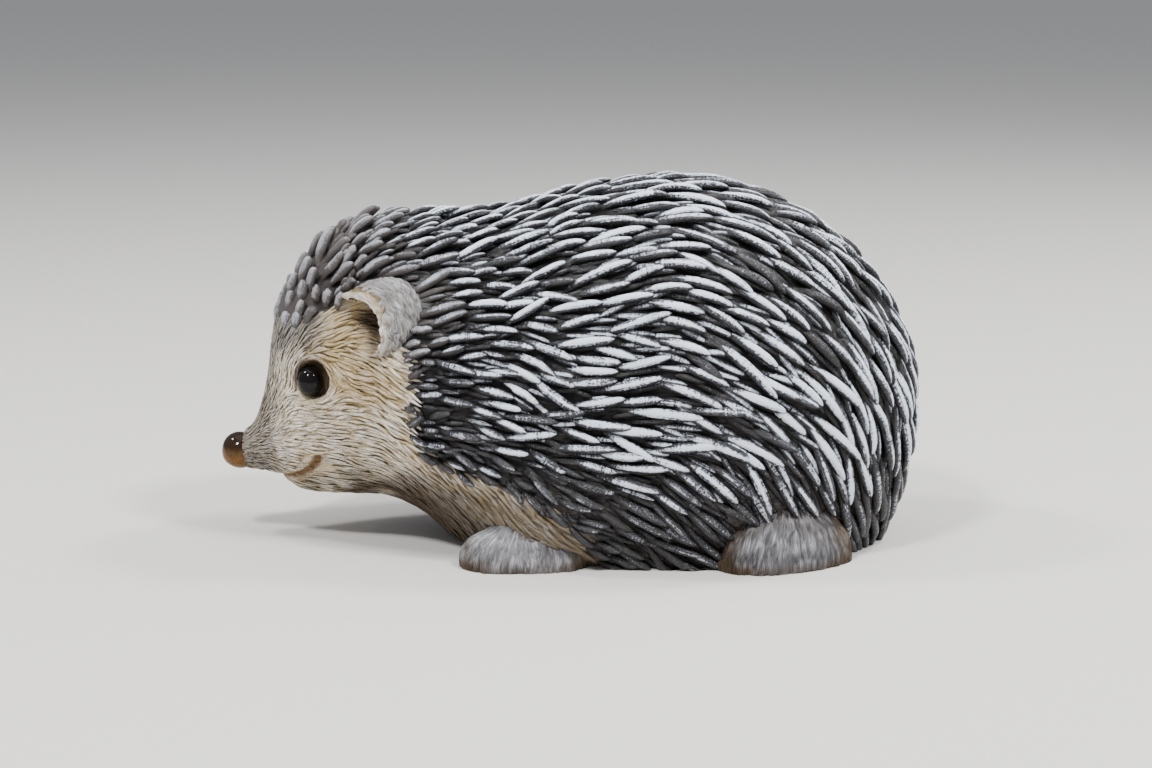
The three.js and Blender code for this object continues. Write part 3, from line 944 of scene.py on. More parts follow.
def quill_lie(points):
    """The way the quills point, laid into the skin, and the skin's normal. In side view it
    is backward and below the level by an angle that grows toward the rump and low on the
    flank. On the crown they point up, and two patches on the flank go their own way."""
    x, z = points[:, 0], points[:, 2]
    droop = RUMP_DROOP * np.clip((x - 20) / 86, 0, 1) ** 0.9
    droop += (FLANK_DROOP * (1 - smooth_step(18, 46, z)) * smooth_step(-50, -20, x)
              * (1 - smooth_step(45, 80, x)))
    for strength, place, reach in DROOP_PATCHES:
        droop += strength * in_side_view(points, place, reach)
    droop += np.interp(x, CROWN_AT, CROWN_DROOP)
    droop += 4 * ripple(points, 36, 51)
    droop = np.radians(np.minimum(droop, MOST_DROOP))
    way = np.column_stack([np.cos(droop), np.zeros(len(x)), -np.sin(droop)])
    normal = skin_normal(points)
    return laid_flat(way, normal), normal


sample = onto_skin(np.array([[0.0, 0.0, 90.0], [80.0, -30.0, 60.0]]))
print("the quills' way on the back and rump:", quill_lie(sample)[0].round(2).tolist())

# %% The size of the quills
# Length and width of the quills in mm, by place along X.
SIZE_AT = [-90, -80, -66, -50, -25, 0, 40, 80, 106]
QUILL_LENGTH = [7.6, 9.0, 11.5, 13.8, 17.5, 21.0, 25.0, 26.0, 23.0]
QUILL_WIDTH = [4.6, 4.4, 3.8, 2.95, 2.8, 3.15, 3.45, 3.45, 3.3]


def quill_size(points, behind):
    """Length and width in mm by place along the body. They are smaller by up to 45 per cent
    beside the fur, and by 12 per cent near the floor."""
    x, z = points[:, 0], points[:, 2]
    length = np.interp(x, SIZE_AT, QUILL_LENGTH)
    width = np.interp(x, SIZE_AT, QUILL_WIDTH)
    crown = 1 - smooth_step(-80, -60, x)
    beside = 0.55 + 0.45 * np.maximum(smooth_step(0, 16, behind), 0.5 * crown)
    low = 0.88 + 0.12 * smooth_step(12, 26, z)
    return length * beside * low, width * (0.6 + 0.4 * beside) * low


print("their lengths there:", quill_size(sample, np.array([30.0, 60.0]))[0].round(1))

# %% Darts on the skin
OFF_FLOOR = 1.2


def picked(chosen, *values):
    """The chosen rows of each of the values."""
    return [value[chosen] for value in values]


def throw_darts(count, nearest, furthest):
    """Places on the skin: cells of the form's grid drawn by their area, with a chance place
    in each, that lie off the floor and between two distances behind the fur line."""
    wrapped = np.concatenate([form_rings, form_rings[:, :1]], axis=1)
    start = wrapped[:-1, :-1]
    one_way, other_way = wrapped[1:, :-1] - start, wrapped[:-1, 1:] - start
    area = np.linalg.norm(np.cross(one_way, other_way), axis=-1)
    area[start[..., 2] < 1] = 0
    cell = random.choice(area.size, count, p=area.ravel() / area.sum())
    row, spoke = np.unravel_index(cell, area.shape)
    s, t = random.random((2, count, 1))
    places = start[row, spoke] + one_way[row, spoke] * s + other_way[row, spoke] * t
    behind = beyond_line(places)
    wanted = (behind > nearest) & (behind < furthest) & (places[:, 2] > OFF_FLOOR)
    return picked(wanted, places, behind)


print("cells to throw at:", (form_rings.shape[0] - 1) * form_rings.shape[1])

# %% Clear of ears and paws
EAR_FRONT = -66.0
CLEAR_OF_EAR, CLEAR_OF_PAW, TIP_CLEAR_OF_PAW = 1.02, 0.95, 0.84


def inside_form(points, place, form):
    """How far out a point lies in an ellipsoid's own measure, where 1 is its surface, on
    whichever side of the body it is."""
    near_side = np.column_stack([points[:, 0], -np.abs(points[:, 1]), points[:, 2]])
    return np.linalg.norm((near_side - place) @ np.linalg.inv(form).T, axis=1)


def clear_of_parts(points, tips, ear_front=EAR_FRONT):
    """True where neither a ridge's middle nor its tip lies in an ear or a paw. Before
    ear_front the ear is open, so ridges run into it."""
    before_ear = (points[:, 0] < ear_front) & (tips[:, 0] < ear_front + 3)
    clear = before_ear | ((inside_form(points, EAR_PLACE, EAR_FORM) > CLEAR_OF_EAR)
                          & (inside_form(tips, EAR_PLACE, EAR_FORM) > CLEAR_OF_EAR))
    for place, form in ((HINDPAW_PLACE, HINDPAW_FORM), (FOREPAW_PLACE, FOREPAW_FORM)):
        clear &= inside_form(points, place, form) > CLEAR_OF_PAW
        clear &= inside_form(tips, place, form) > TIP_CLEAR_OF_PAW
    return clear


print("middle of the back is clear:", clear_of_parts(sample, sample).tolist())

# %% Room for each quill
THROWS_QUILL = 14000
NEAREST_QUILL, FAR = 0.6, 1000.0
ROOM_ALONG, ROOM_ACROSS = 0.6, 0.98
LOW_SHARE, LOW_ROOM, LOW_FROM = 0.7, 0.72, -70.0
QUILL_VARIES = (0.72, 1.22)
NO_PLACES = np.zeros((0, 3))


def settle(earlier, places, lie, normal, length, width, room):
    """True for each dart whose ellipse of room holds no earlier place and no dart that was
    kept before it."""
    side = np.cross(lie, normal)
    taken = np.vstack([earlier, places])
    count = len(earlier)
    kept = np.zeros(len(places), bool)
    for dart, place in enumerate(places):
        apart = taken[:count] - place
        along = apart @ lie[dart] / (ROOM_ALONG * room * length[dart])
        across = apart @ side[dart] / (ROOM_ACROSS * room * width[dart])
        lift = apart @ normal[dart] / (2 * width[dart])
        if count == 0 or (along**2 + across**2 + lift**2).min() > 1:
            kept[dart] = True
            taken[count] = place
            count += 1
    return kept


def planted(earlier, share, room, foremost):
    """New quill places, clear of the earlier ones and behind the foremost X: their points,
    distance behind the fur, lengths and widths."""
    places, behind = throw_darts(THROWS_QUILL, NEAREST_QUILL, FAR)
    places, behind = picked(places[:, 0] > foremost, places, behind)
    places = onto_skin(places)
    lie, normal = quill_lie(places)
    length, width = quill_size(places, behind)
    vary = random.uniform(*QUILL_VARIES, (2, len(places)))
    length = length * share * vary[0]
    width = width * share * (0.5 + 0.5 * vary.mean(axis=0))
    tips = places + lie * length[:, None] * 0.5 + normal * 2
    places, behind, lie, normal, length, width = picked(
        clear_of_parts(places, tips), places, behind, lie, normal, length, width)
    kept = settle(earlier, places, lie, normal, length, width, room)
    return picked(kept, places, behind, length, width)


main_places, main_behind, main_length, main_width = planted(NO_PLACES, 1.0, 1.0, -FAR)
low_places, low_behind, low_length, low_width = planted(
    main_places, LOW_SHARE, LOW_ROOM, LOW_FROM)
print("main quills:", len(main_places), "low quills:", len(low_places))

# %% A walk along the lie
BACK_STEPS = 4


def random_angles(own, degrees, count):
    """Random angles in radians, spread round zero by so many degrees."""
    return np.radians(own.normal(0, degrees, count))


def walked(places, length, rings, lie_at, own_turn, bend, stiff=0.0):
    """Walks from each ridge's middle back to its root, and then forward to its tip, in equal
    steps along the lie, setting each point back onto the skin. A stiff ridge keeps that
    share of the lie at its middle. The way is turned by the ridge's own angle, plus its bend
    times the share walked. Returns points, ways and normals, ring by ring."""
    middle_lie = lie_at(places)[0]

    def step_on(here, distance, share):
        lie, normal = lie_at(here)
        lie = laid_flat(lie * (1 - stiff) + middle_lie * stiff, normal)
        side = np.cross(lie, normal)
        angle = (own_turn + bend * share)[:, None]
        way = lie * np.cos(angle) + side * np.sin(angle)
        return onto_skin(here + way * distance[:, None]), way, normal

    here = places
    for _ in range(BACK_STEPS):
        here = step_on(here, -length / (2 * BACK_STEPS), -0.5)[0]
    line, ways, normals = [], [], []
    for ring in range(rings):
        after, way, normal = step_on(here, length / (rings - 1), ring / (rings - 1) - 0.5)
        line.append(here)
        ways.append(way)
        normals.append(normal)
        here = after
    return np.stack(line), np.stack(ways), np.stack(normals)


no_turn = np.zeros(len(sample))
walk = walked(sample, no_turn + 20, 5, quill_lie, no_turn, no_turn)[0]
print("a walk over the back:", walk[:, 0].round(1).tolist())

# %% The quills' centrelines
# Share of the coat's depth that a quill stands above the skin, by share of its length.
RISE_AT = [0, 0.12, 0.35, 0.6, 0.82, 1.0]
MAIN_RISE = [-0.42, -0.2, 0.2, 0.45, 0.6, 0.56]
LOW_RISE = [-0.42, -0.25, -0.02, 0.1, 0.14, 0.1]

# The coat's depth in mm, by place along X.
DEPTH_AT, DEPTH = [-92, -88, -81, -71, -58, -40], [0.5, 0.9, 2.0, 3.2, 3.7, 4.0]
CROWN_RISE, CROWN_SINK = 2.8, 1.3
RISE_VARIES, CROWN_VARIES = (0.86, 1.1), (0.4, 1.3)
QUILL_TURNS, QUILL_BENDS, QUILL_STIFF = 9.5, 9.0, 0.65
QUILL_RINGS = 10


def quill_lines(places, length, rise_shares, seed):
    """The quills' centrelines. Each is raised off the skin by the share of the coat's depth
    that rise_shares gives along it, and the crown's stand up further toward their tips."""
    own = np.random.default_rng(seed)
    count = len(places)
    line, ways, normals = walked(places, length, QUILL_RINGS, quill_lie,
                                 random_angles(own, QUILL_TURNS, count),
                                 random_angles(own, QUILL_BENDS, count), QUILL_STIFF)
    shares = np.linspace(0, 1, len(line))
    lift = (np.interp(shares, RISE_AT, rise_shares)[:, None]
            * np.interp(places[:, 0], DEPTH_AT, DEPTH) * own.uniform(*RISE_VARIES, count))
    crown = ((1 - smooth_step(-78, -20, places[:, 0])) * smooth_step(66, 86, places[:, 2])
             * (0.3 + 0.7 * smooth_step(-88, -78, places[:, 0])))
    lift += CROWN_RISE * crown * (shares**1.6)[:, None] * own.uniform(*CROWN_VARIES, count)
    lift -= CROWN_SINK * (1 - smooth_step(-86, -74, places[:, 0]))
    lift += broad_relief(line.reshape(-1, 3)).reshape(lift.shape)
    return line + normals * lift[..., None], ways, normals


print("tallest tips in mm above the skin:", round(max(MAIN_RISE) * max(DEPTH), 1))


# %% Ridges round centrelines
BRUSH_LEAN, FLOOR_GAP = 0.25, 0.02


def resampled(values, shares):
    """Values on evenly spaced rings, mixed to give them at other shares of the length."""
    place = shares * (len(values) - 1)
    low = np.minimum(place.astype(int), len(values) - 2)
    part = (place - low)[:, None, None]
    return values[low] * (1 - part) + values[low + 1] * part


def ridges(lines, shares, half, thick, flat, spokes, roll):
    """Rings round each centreline: cosine times the half width to the side, and sine times
    the thickness up, flatter below, all rolled a little about the line. The crest value is
    1 on top, 0 at the sides and -1 below, and it leans to the upper side, where the brush
    came from."""
    line, ways, normals = (resampled(values, shares) for values in lines)
    side = np.cross(ways, normals)
    turn = roll[None, :, None]
    up = normals * np.cos(turn) + side * np.sin(turn)
    side = side * np.cos(turn) - normals * np.sin(turn)
    spin = np.linspace(0, 2 * math.pi, spokes, endpoint=False)
    sine, cosine = np.sin(spin), np.cos(spin)
    height = np.where(sine > 0, thick, flat) * sine
    rings = (line[:, :, None] + side[:, :, None] * (half[..., None] * cosine)[..., None]
             + up[:, :, None] * (half[..., None] * height)[..., None])
    rings[..., 2] = np.maximum(rings[..., 2], FLOOR_GAP)
    crest = np.arcsin(np.clip(sine + BRUSH_LEAN * cosine * side[..., 2:3], -1, 1)) / (math.pi / 2)
    return rings.transpose(1, 0, 2, 3), crest.transpose(1, 0, 2)


print("lean of the brush to the upper side:", BRUSH_LEAN)

# %% The quills' shape and values
# Share of a quill's width, by share of its length, for the tapered ones and the knobs.
QUILL_AT = np.array([0.0, 0.06, 0.18, 0.34, 0.52, 0.68, 0.81, 0.91, 0.97, 1.0])
QUILL_WIDE = np.array([0.34, 0.47, 0.68, 0.86, 0.98, 1.0, 0.92, 0.72, 0.44, 0.06])
KNOB_WIDE = np.array([0.6, 0.7, 0.8, 0.92, 1.0, 1.0, 0.96, 0.84, 0.6, 0.08])
QUILL_SPOKES = 8
QUILL_THICK, QUILL_FLAT, QUILL_ROLLS = 0.9, 0.55, 9


def greyness_of(places):
    """1 on the crown and round the ears, where the paint was airbrushed grey, fading to 0
    along the neck."""
    crown = 1 - smooth_step(-66, -44, places[:, 0])
    round_ear = 1 - smooth_step(14, 24, from_place(places, EAR_PLACE * [1, -1, 1]))
    return np.clip(np.maximum(crown, 0.8 * round_ear), 0, 1)


def quill_shells(places, length, width, rise_shares, whiteness, seed):
    """All the quills at once, and the values their paint reads. The crown's are blunt knobs,
    and the others taper."""
    own = np.random.default_rng(seed + 100)
    count = len(places)
    knob = (1 - smooth_step(-80, -62, places[:, 0]))[None]
    profile = QUILL_WIDE[:, None] * (1 - knob) + KNOB_WIDE[:, None] * knob
    rings, crest = ridges(quill_lines(places, length, rise_shares, seed), QUILL_AT,
                          profile * width / 2, QUILL_THICK, QUILL_FLAT, QUILL_SPOKES,
                          random_angles(own, QUILL_ROLLS, count))
    spread = lambda value: np.broadcast_to(value, crest.shape)
    values = dict(
        root_to_tip=spread(QUILL_AT[None, :, None]), crest=crest,
        white=spread(whiteness[:, None, None]),
        chance=spread(own.random(count)[:, None, None]),
        grey=spread(greyness_of(places)[:, None, None]))
    return rings, values


print("points of one quill:", len(QUILL_AT) * QUILL_SPOKES)

# %% Ridges to meshes
CELL_MARGIN, CAP_MIDDLE, CAP_RADIUS = 0.06, 0.03, 0.012
CAP_TURNS = 6.2


def cells_of(roots):
    """The lowest corner of each ridge's own cell on the paint map, and the cells' size.
    Columns follow the roots from nose to tail, and rows in them from belly to back."""
    count = len(roots)
    columns = int(math.ceil(math.sqrt(count)))
    by_length = np.argsort(roots[:, 0], kind="stable")
    column, row = np.empty(count, int), np.empty(count, int)
    column[by_length] = np.arange(count) // columns
    row[np.lexsort((roots[:, 2], column))] = np.arange(count) % columns
    return np.column_stack([column, row]) / columns, 1 / columns


def ridge_mesh(name, shares, rings, values):
    """Joins many ridges into one piece. Ridge q, ring r and spoke s is point
    (q * rings + r) * spokes + s. The two end rings are closed by one flat face each. In a
    ridge's cell on the paint map, the length runs across and the spokes run up."""
    count, ring_count, spokes = rings.shape[:3]
    corner, cell = cells_of(rings[:, 0].mean(axis=1))
    ring, spoke = (one[:, [1, 0, 3, 2]] for one in grid_corners(ring_count, spokes))
    start = (np.arange(count) * ring_count * spokes)[:, None, None]
    quads = (start + ring * spokes + spoke % spokes).reshape(-1, 4)
    spin = np.arange(spokes)
    root_caps = start[:, 0] + spin
    tip_caps = start[:, 0] + (ring_count - 1) * spokes + spin[::-1]
    inside = np.stack([shares[ring], spoke / spokes], axis=-1)
    quad_map = corner[:, None, None] + cell * (CELL_MARGIN + (1 - 2 * CELL_MARGIN) * inside)
    turn = np.linspace(0, CAP_TURNS, spokes)
    circle = CAP_RADIUS * np.column_stack([np.cos(turn), np.sin(turn)])
    cap_map = corner[:, None] + cell * (CAP_MIDDLE + circle)
    return new_piece(name, rings.reshape(-1, 3), [quads, root_caps, tip_caps],
                     [quad_map, cap_map, cap_map], values)


print("cells to a side, for all the main quills:", round(1 / cells_of(main_places)[1]))

# %% The quills' white, and their pieces
MISSED_SHARE, MISSED_WHITE = 0.05, 0.3
LOW_WHITE, LOW_WHITE_SHARE = 0.75, 0.55
WHITE_VARIES = 0.14


def whiteness_of(places, behind):
    """How much white each quill has caught: less beside the fur, least near the floor, where
    less white also stands for painted shade, and hardly any on a few that the brush missed."""
    amount = 0.3 + 0.68 * smooth_step(10, 40, places[:, 2])
    crown = 1 - smooth_step(-74, -56, places[:, 0])
    amount *= 0.5 + 0.5 * np.maximum(smooth_step(3, 34, behind), 0.8 * crown)
    amount += random.normal(0, WHITE_VARIES, len(places))
    missed = random.random(len(places)) < MISSED_SHARE
    return np.clip(np.where(missed, MISSED_WHITE * amount, amount), 0, 1)


main_white = whiteness_of(main_places, main_behind)
low_white = whiteness_of(low_places, low_behind) * LOW_WHITE
low_white *= random.random(len(low_places)) < LOW_WHITE_SHARE
main_rings, main_values = quill_shells(main_places, main_length, main_width, MAIN_RISE,
                                       main_white, 61)
low_rings, low_values = quill_shells(low_places, low_length, low_width, LOW_RISE,
                                     low_white, 71)


def some(values, chosen):
    """The rows of each value that belong to the chosen ridges."""
    return {key: value[chosen] for key, value in values.items()}


def left_and_right(name, shares, places, rings, values):
    """Two meshes, one of the ridges on each side of the body."""
    left = places[:, 1] < 0
    return (ridge_mesh(name + "_left", shares, rings[left], some(values, left)),
            ridge_mesh(name + "_right", shares, rings[~left], some(values, ~left)))


quills_left, quills_right = left_and_right("quills", QUILL_AT, main_places,
                                           main_rings, main_values)
quills_low_left, quills_low_right = left_and_right("quills_low", QUILL_AT, low_places,
                                                   low_rings, low_values)

# %% [markdown]
# ## Carved strokes of fur
#
# On the face and chest the fur is carved as some two thousand low, wavy ridges. The grooves
# cut in the skin give the ground between them. The ridges themselves could be left to the bump
# of the material, but real ones catch the light at their edges and overlap, so each is a
# small mesh like a quill, thin and nearly flat. They follow their own lie, which parts
# round the eye, and they take the same paint as the skin.

# %% The lie and size of the fur
EYE_FLOW = 6.2
FUR_AT = [-100, -92, -84, -70, -50, -30, 0]
FUR_LENGTH = [2.6, 4.0, 6.0, 8.5, 9.5, 10.5, 11.0]
FUR_WIDTH = [0.6, 0.74, 0.88, 1.0, 1.1, 1.45, 1.65]
FUR_VARIES = (0.7, 1.3)

# How far above the level the fur points backward, in degrees, by place along X, and how
# much that changes on the forehead and the chest.
FOREHEAD_RISE, CHEST_FALL = 24, 34
RISES_AT, RISES = [-100, -94, -88, -82, -74, -64, -52], [5, 22, 42, 34, 10, -6, -18]


def fur_lie(points):
    """The way the fur lies, laid into the skin, and the skin's normal. In side view it is
    level on the cheek, rises up the forehead and falls toward the chest. Round the eye it
    turns by the angle of a stream round a stone, whose flow along and across is
    1 - r^2 (a^2 - b^2) / d^4 and -2 r^2 a b / d^4."""
    x, z = points[:, 0], points[:, 2]
    rise = np.interp(x, RISES_AT, RISES) * (0.15 + 0.85 * smooth_step(22, 44, z))
    rise += FOREHEAD_RISE * smooth_step(54, 64, z) * (1 - smooth_step(-68, -56, x))
    rise -= CHEST_FALL * smooth_step(-60, -38, x) * (1 - smooth_step(20, 42, z))
    rise = np.radians(rise + 6 * ripple(points, 12, 55) + 7 * ripple(points, 5.5, 56))
    off_x, off_z = x - EYE_PLACE[0], z - EYE_PLACE[2]
    a = off_x * np.cos(rise) + off_z * np.sin(rise)
    b = off_z * np.cos(rise) - off_x * np.sin(rise)
    apart = np.maximum(a**2 + b**2, (0.95 * EYE_FLOW) ** 2) / EYE_FLOW
    angle = rise + np.arctan2(-2 * a * b / apart**2, 1 - (a**2 - b**2) / apart**2)
    way = np.column_stack([np.cos(angle), np.zeros(len(x)), np.sin(angle)])
    normal = skin_normal(points)
    return laid_flat(way, normal), normal


def fur_size(points):
    """Length and width of a stroke in mm by place along the body, with chance."""
    vary = random.uniform(*FUR_VARIES, (2, len(points)))
    return (np.interp(points[:, 0], FUR_AT, FUR_LENGTH) * vary[0],
            np.interp(points[:, 0], FUR_AT, FUR_WIDTH) * (0.4 + 0.6 * vary[1]))


cheek = onto_skin(np.array([[-66.0, -30.0, 38.0]]))
print("the fur's way on the cheek:", fur_lie(cheek)[0].round(2).tolist())

# %% Places for the strokes
THROWS_FUR = 90000
FUR_ENDS, FUR_ROOM = 1.5, 0.8
FUR_EAR_FRONT, MOST_DOWNWARD = -57.5, -0.9
FUR_BOUNDS = dict(eye=5.95, mouth=1.3, nose=5.9, floor=0.6)


def clear_of_features(line):
    """True for the strokes of which no point lies in the eye's seat, the mouth, the nose or
    the floor."""
    flat = line.reshape(-1, 3)
    clear = from_place(flat, EYE_PLACE) > FUR_BOUNDS["eye"]
    clear &= np.abs(beyond_line(flat, MOUTH_LINE)) > FUR_BOUNDS["mouth"]
    clear &= np.linalg.norm(flat - NOSE_PLACE, axis=1) > FUR_BOUNDS["nose"]
    clear &= flat[:, 2] > FUR_BOUNDS["floor"]
    return clear.reshape(line.shape[:2]).all(axis=0)


def planted_fur():
    """Places for the strokes, clear of the ears and paws and off the flat base, with their
    lengths and widths."""
    places = onto_skin(throw_darts(THROWS_FUR, -FAR, FUR_ENDS)[0])
    lie, normal = fur_lie(places)
    length, width = fur_size(places)
    tips = places + lie * length[:, None] * 0.4
    clear = clear_of_parts(places, tips, FUR_EAR_FRONT) & (normal[:, 2] > MOST_DOWNWARD)
    places, lie, normal, length, width = picked(clear, places, lie, normal, length, width)
    kept = settle(NO_PLACES, places, lie, normal, length, width, FUR_ROOM)
    return picked(kept, places, length, width)


fur_places, fur_length, fur_width = planted_fur()
print("strokes of fur:", len(fur_places))

# %% The strokes' meshes
STROKE_AT = np.array([0.0, 0.12, 0.32, 0.55, 0.75, 0.9, 1.0])
STROKE_WIDE = np.array([0.4, 0.66, 0.94, 1.0, 0.82, 0.5, 0.06])
STROKE_RISE = np.array([-0.45, -0.24, -0.08, 0.02, 0.04, 0.0, -0.1])
STROKE_THICK, STROKE_SPOKES = 0.52, 6
STROKE_TURNS, STROKE_BENDS, STROKE_ROLLS = 4.5, 9, 12


def fur_shells(places, length, width, seed):
    """All the strokes at once, with the values that the fur's paint reads: the region they
    lie in, and a groove along both of their sides and at their root."""
    own = np.random.default_rng(seed)
    count = len(places)
    line, ways, normals = walked(places, length, len(STROKE_AT), fur_lie,
                                 random_angles(own, STROKE_TURNS, count),
                                 random_angles(own, STROKE_BENDS, count))
    kept = clear_of_features(line)
    line, ways, normals = picked((slice(None), kept), line, ways, normals)
    length, width = picked(kept, length, width)
    count = len(length)
    regions = regions_at(line.reshape(-1, 3), normals.reshape(-1, 3))
    regions = {key: resampled(value.reshape(len(line), count, 1), STROKE_AT)
               for key, value in regions.items()}
    lift = broad_relief(line.reshape(-1, 3)).reshape(line.shape[:2])
    place = line[0]
    calm = (0.8 * (1 - smooth_step(-94, -80, place[:, 0]))
            + 0.35 * smooth_step(-60, -40, place[:, 0]) * (1 - smooth_step(20, 34, place[:, 2])))
    lift += STROKE_RISE[:, None] * own.uniform(0.7, 1.3, count) - 0.2 * calm
    line = line + normals * lift[..., None]
    rings, crest = ridges((line, ways, normals), STROKE_AT, STROKE_WIDE[:, None] * width / 2,
                          STROKE_THICK, STROKE_THICK, STROKE_SPOKES,
                          random_angles(own, STROKE_ROLLS, count))
    spread = lambda value: np.broadcast_to(value, crest.shape)
    along = STROKE_AT[None, :, None]
    chance = own.random(count)[:, None, None]
    regions = {key: spread(value.transpose(1, 0, 2)) for key, value in regions.items()}
    regions["ochre"] = np.clip(regions["ochre"] + 0.3 * (chance - 0.5), 0, 1)
    values = dict(
        along=spread(along * length[:, None, None]), even=60 * chance + 0.8 * crest,
        odd=60 * chance + 0.8 * crest, share=0 * crest,
        groove=np.maximum(1 - smooth_step(-0.35, 0.35, crest),
                          spread(1 - smooth_step(0.02, 0.22, along)))
        * (1 - 0.6 * calm[:, None, None]),
        quilled=0 * crest, pale=0.35 * spread(chance) * smooth_step(0.3, 0.8, crest), **regions)
    return line[0], rings, values


fur_roots, fur_rings, fur_values = fur_shells(fur_places, fur_length, fur_width, 95)
fur_left, fur_right = left_and_right("fur_strokes", STROKE_AT, fur_roots, fur_rings, fur_values)

# %% [markdown]
# ## Tufts at the edge of the fur
#
# Where the face meets the quills the carving changes over a finger's breadth. Slim locks of
# fur stand out over the first quills there, ochre or dark low on the sides, cream on top and
# brushed nearly white at the tip. They are made as the quills are, but slimmer, and they
# take a paint of their own, which joins the fur's ochre to the quills' white.

# %% Places for the tufts
THROWS_TUFT = 9000
TUFT_BAND, TUFT_FROM, TUFT_LOWEST, TUFT_HIGHEST = (-4.5, 2.5), -60, 25, 56
TUFT_LENGTH, TUFT_WIDTH, TUFT_VARIES = 6.5, 1.25, (0.75, 1.25)


def planted_tufts():
    """Places for tufts in a band along the fur line, below the ear, with their distance
    behind it, and lengths and widths that vary by a quarter."""
    places, behind = throw_darts(THROWS_TUFT, *TUFT_BAND)
    x, z = places[:, 0], places[:, 2]
    wanted = (x > TUFT_FROM) & (z > TUFT_LOWEST) & (z < TUFT_HIGHEST)
    places, behind = picked(wanted, places, behind)
    places = onto_skin(places)
    lie, normal = fur_lie(places)
    vary = random.uniform(*TUFT_VARIES, len(places))
    length, width = TUFT_LENGTH * vary, TUFT_WIDTH * (0.5 + 0.5 * vary)
    clear = clear_of_parts(places, places + lie * length[:, None] * 0.3)
    kept = settle(NO_PLACES, places, lie, normal, length, width, FUR_ROOM) & clear
    return picked(kept, places, behind, length, width)


tuft_places, tuft_behind, tuft_length, tuft_width = planted_tufts()
print("tufts:", len(tuft_places))

# %% The tufts' meshes
TUFT_AT = np.array([0.0, 0.1, 0.26, 0.45, 0.62, 0.78, 0.9, 1.0])
TUFT_WIDE = np.array([0.5, 0.72, 0.92, 1.0, 0.86, 0.6, 0.34, 0.03])
TUFT_RISE = np.array([-1.1, -0.5, 0.1, 0.6, 0.95, 1.25, 1.4, 1.4])
TUFT_THICK, TUFT_SPOKES = 0.75, 6
TUFT_TURNS, TUFT_BENDS, TUFT_ROLLS = 8, 12, 12


def tuft_shells(places, behind, length, width, seed):
    """All the tufts at once. They lie the fur's way, and the ones nearest the quills are
    whitest."""
    own = np.random.default_rng(seed)
    count = len(places)
    line, ways, normals = walked(places, length, len(TUFT_AT), fur_lie,
                                 random_angles(own, TUFT_TURNS, count),
                                 random_angles(own, TUFT_BENDS, count))
    lift = TUFT_RISE[:, None] * own.uniform(0.5, 1.1, count)
    lift += broad_relief(line.reshape(-1, 3)).reshape(lift.shape)
    rings, crest = ridges((line + normals * lift[..., None], ways, normals), TUFT_AT,
                          TUFT_WIDE[:, None] * width / 2, TUFT_THICK, TUFT_THICK, TUFT_SPOKES,
                          random_angles(own, TUFT_ROLLS, count))
    spread = lambda value: np.broadcast_to(value, crest.shape)
    chest = 1 - smooth_step(22, 34, places[:, 2])
    white = smooth_step(-7, 2, behind) * own.uniform(0.5, 1.0, count) * (1 - 0.75 * chest)
    values = dict(root_to_tip=spread(TUFT_AT[None, :, None]), crest=crest,
                  white=spread(white[:, None, None]), dull=spread(chest[:, None, None]))
    return rings, values


tuft_rings, tuft_values = tuft_shells(tuft_places, tuft_behind, tuft_length, tuft_width, 91)
tufts = ridge_mesh("border_tufts", TUFT_AT, tuft_rings, tuft_values)

# %% [markdown]
# ## Eyes and nose
#
# The eyes are glossy domed beads pressed into the face, and the nose is a glossy ball. Both
# are plain smooth ellipsoids on the real thing, so each is a fine grid of one, with a little
# unevenness so that its highlights are not perfect circles. Each point keeps its distance
# from the bead's own axis, for the brown ring at the eye's edge.

# %% Beads
EYE_FORM = turning(-8, 0, -20) @ np.diag(BALL_SIZE)
EYE_CENTRE = BALL_PLACE * [1, -1, 1]
EYE_FACING, NOSE_FACING = (-0.35, -1.0, 0.1), (-1, 0, 0)
EYE_UNEVEN, NOSE_UNEVEN = 0.006, 0.014
BEAD_ROWS, BEAD_SPOKES = 48, 64


def bead(place, form, facing, uneven, seed):
    """An ellipsoid from the pole that faces out, round to the one inside. It swells and
    shrinks by the share uneven."""
    polar = np.radians(np.linspace(1.5, 178.5, BEAD_ROWS))
    spin = np.linspace(0, -2 * math.pi, BEAD_SPOKES, endpoint=False)
    axis = np.linalg.inv(form) @ np.asarray(facing, float)
    rings = place + directions(axis, polar, spin) @ form.T
    grow = 1 + uneven * ripple(rings, 6, seed)
    rings = place + (rings - place) * grow[..., None]
    return rings, dict(edge=np.sin(polar)[:, None] + 0 * spin[None])


eye, eye_values = bead(EYE_CENTRE, EYE_FORM, EYE_FACING, EYE_UNEVEN, 81)
left_bead, right_bead = both_sides(eye, eye_values, [WHOLE_MAP, WHOLE_MAP])
eye_left = mesh_of("bead_eye_left", [left_bead])
eye_right = mesh_of("bead_eye_right", [right_bead])
nose_rings, nose_values = bead(NOSE_PLACE, np.diag(NOSE_SIZE), NOSE_FACING, NOSE_UNEVEN, 82)
nose_ball = mesh_of("nose_ball", both_sides(nose_rings, nose_values, [WHOLE_MAP]))

# %% [markdown]
# ## Paint
#
# The ornament is painted in layers, and the materials follow them: a base colour, a darker
# wash that runs into the strokes, airbrushed shades, and a nearly dry brush of white that
# only touches what stands proud. Some layers are painted light and shade: dark brown in the
# eye's seat, the ears' hollows and under the body, darker sides low on each quill, and a
# blue-grey that is partly a painted sheen on the quills' varnish. Each layer is a colour
# mixed over the last one by a mask.
# The masks come from values kept on the meshes, roughened by noise so that no edge is
# clean. Long sums are hard to read as nodes, so a small class lets them be written as
# plain sums. Two effects are shared by several paints, so they are node groups: the fine
# strokes between the carved ones, and the mottle of hand-laid paint.

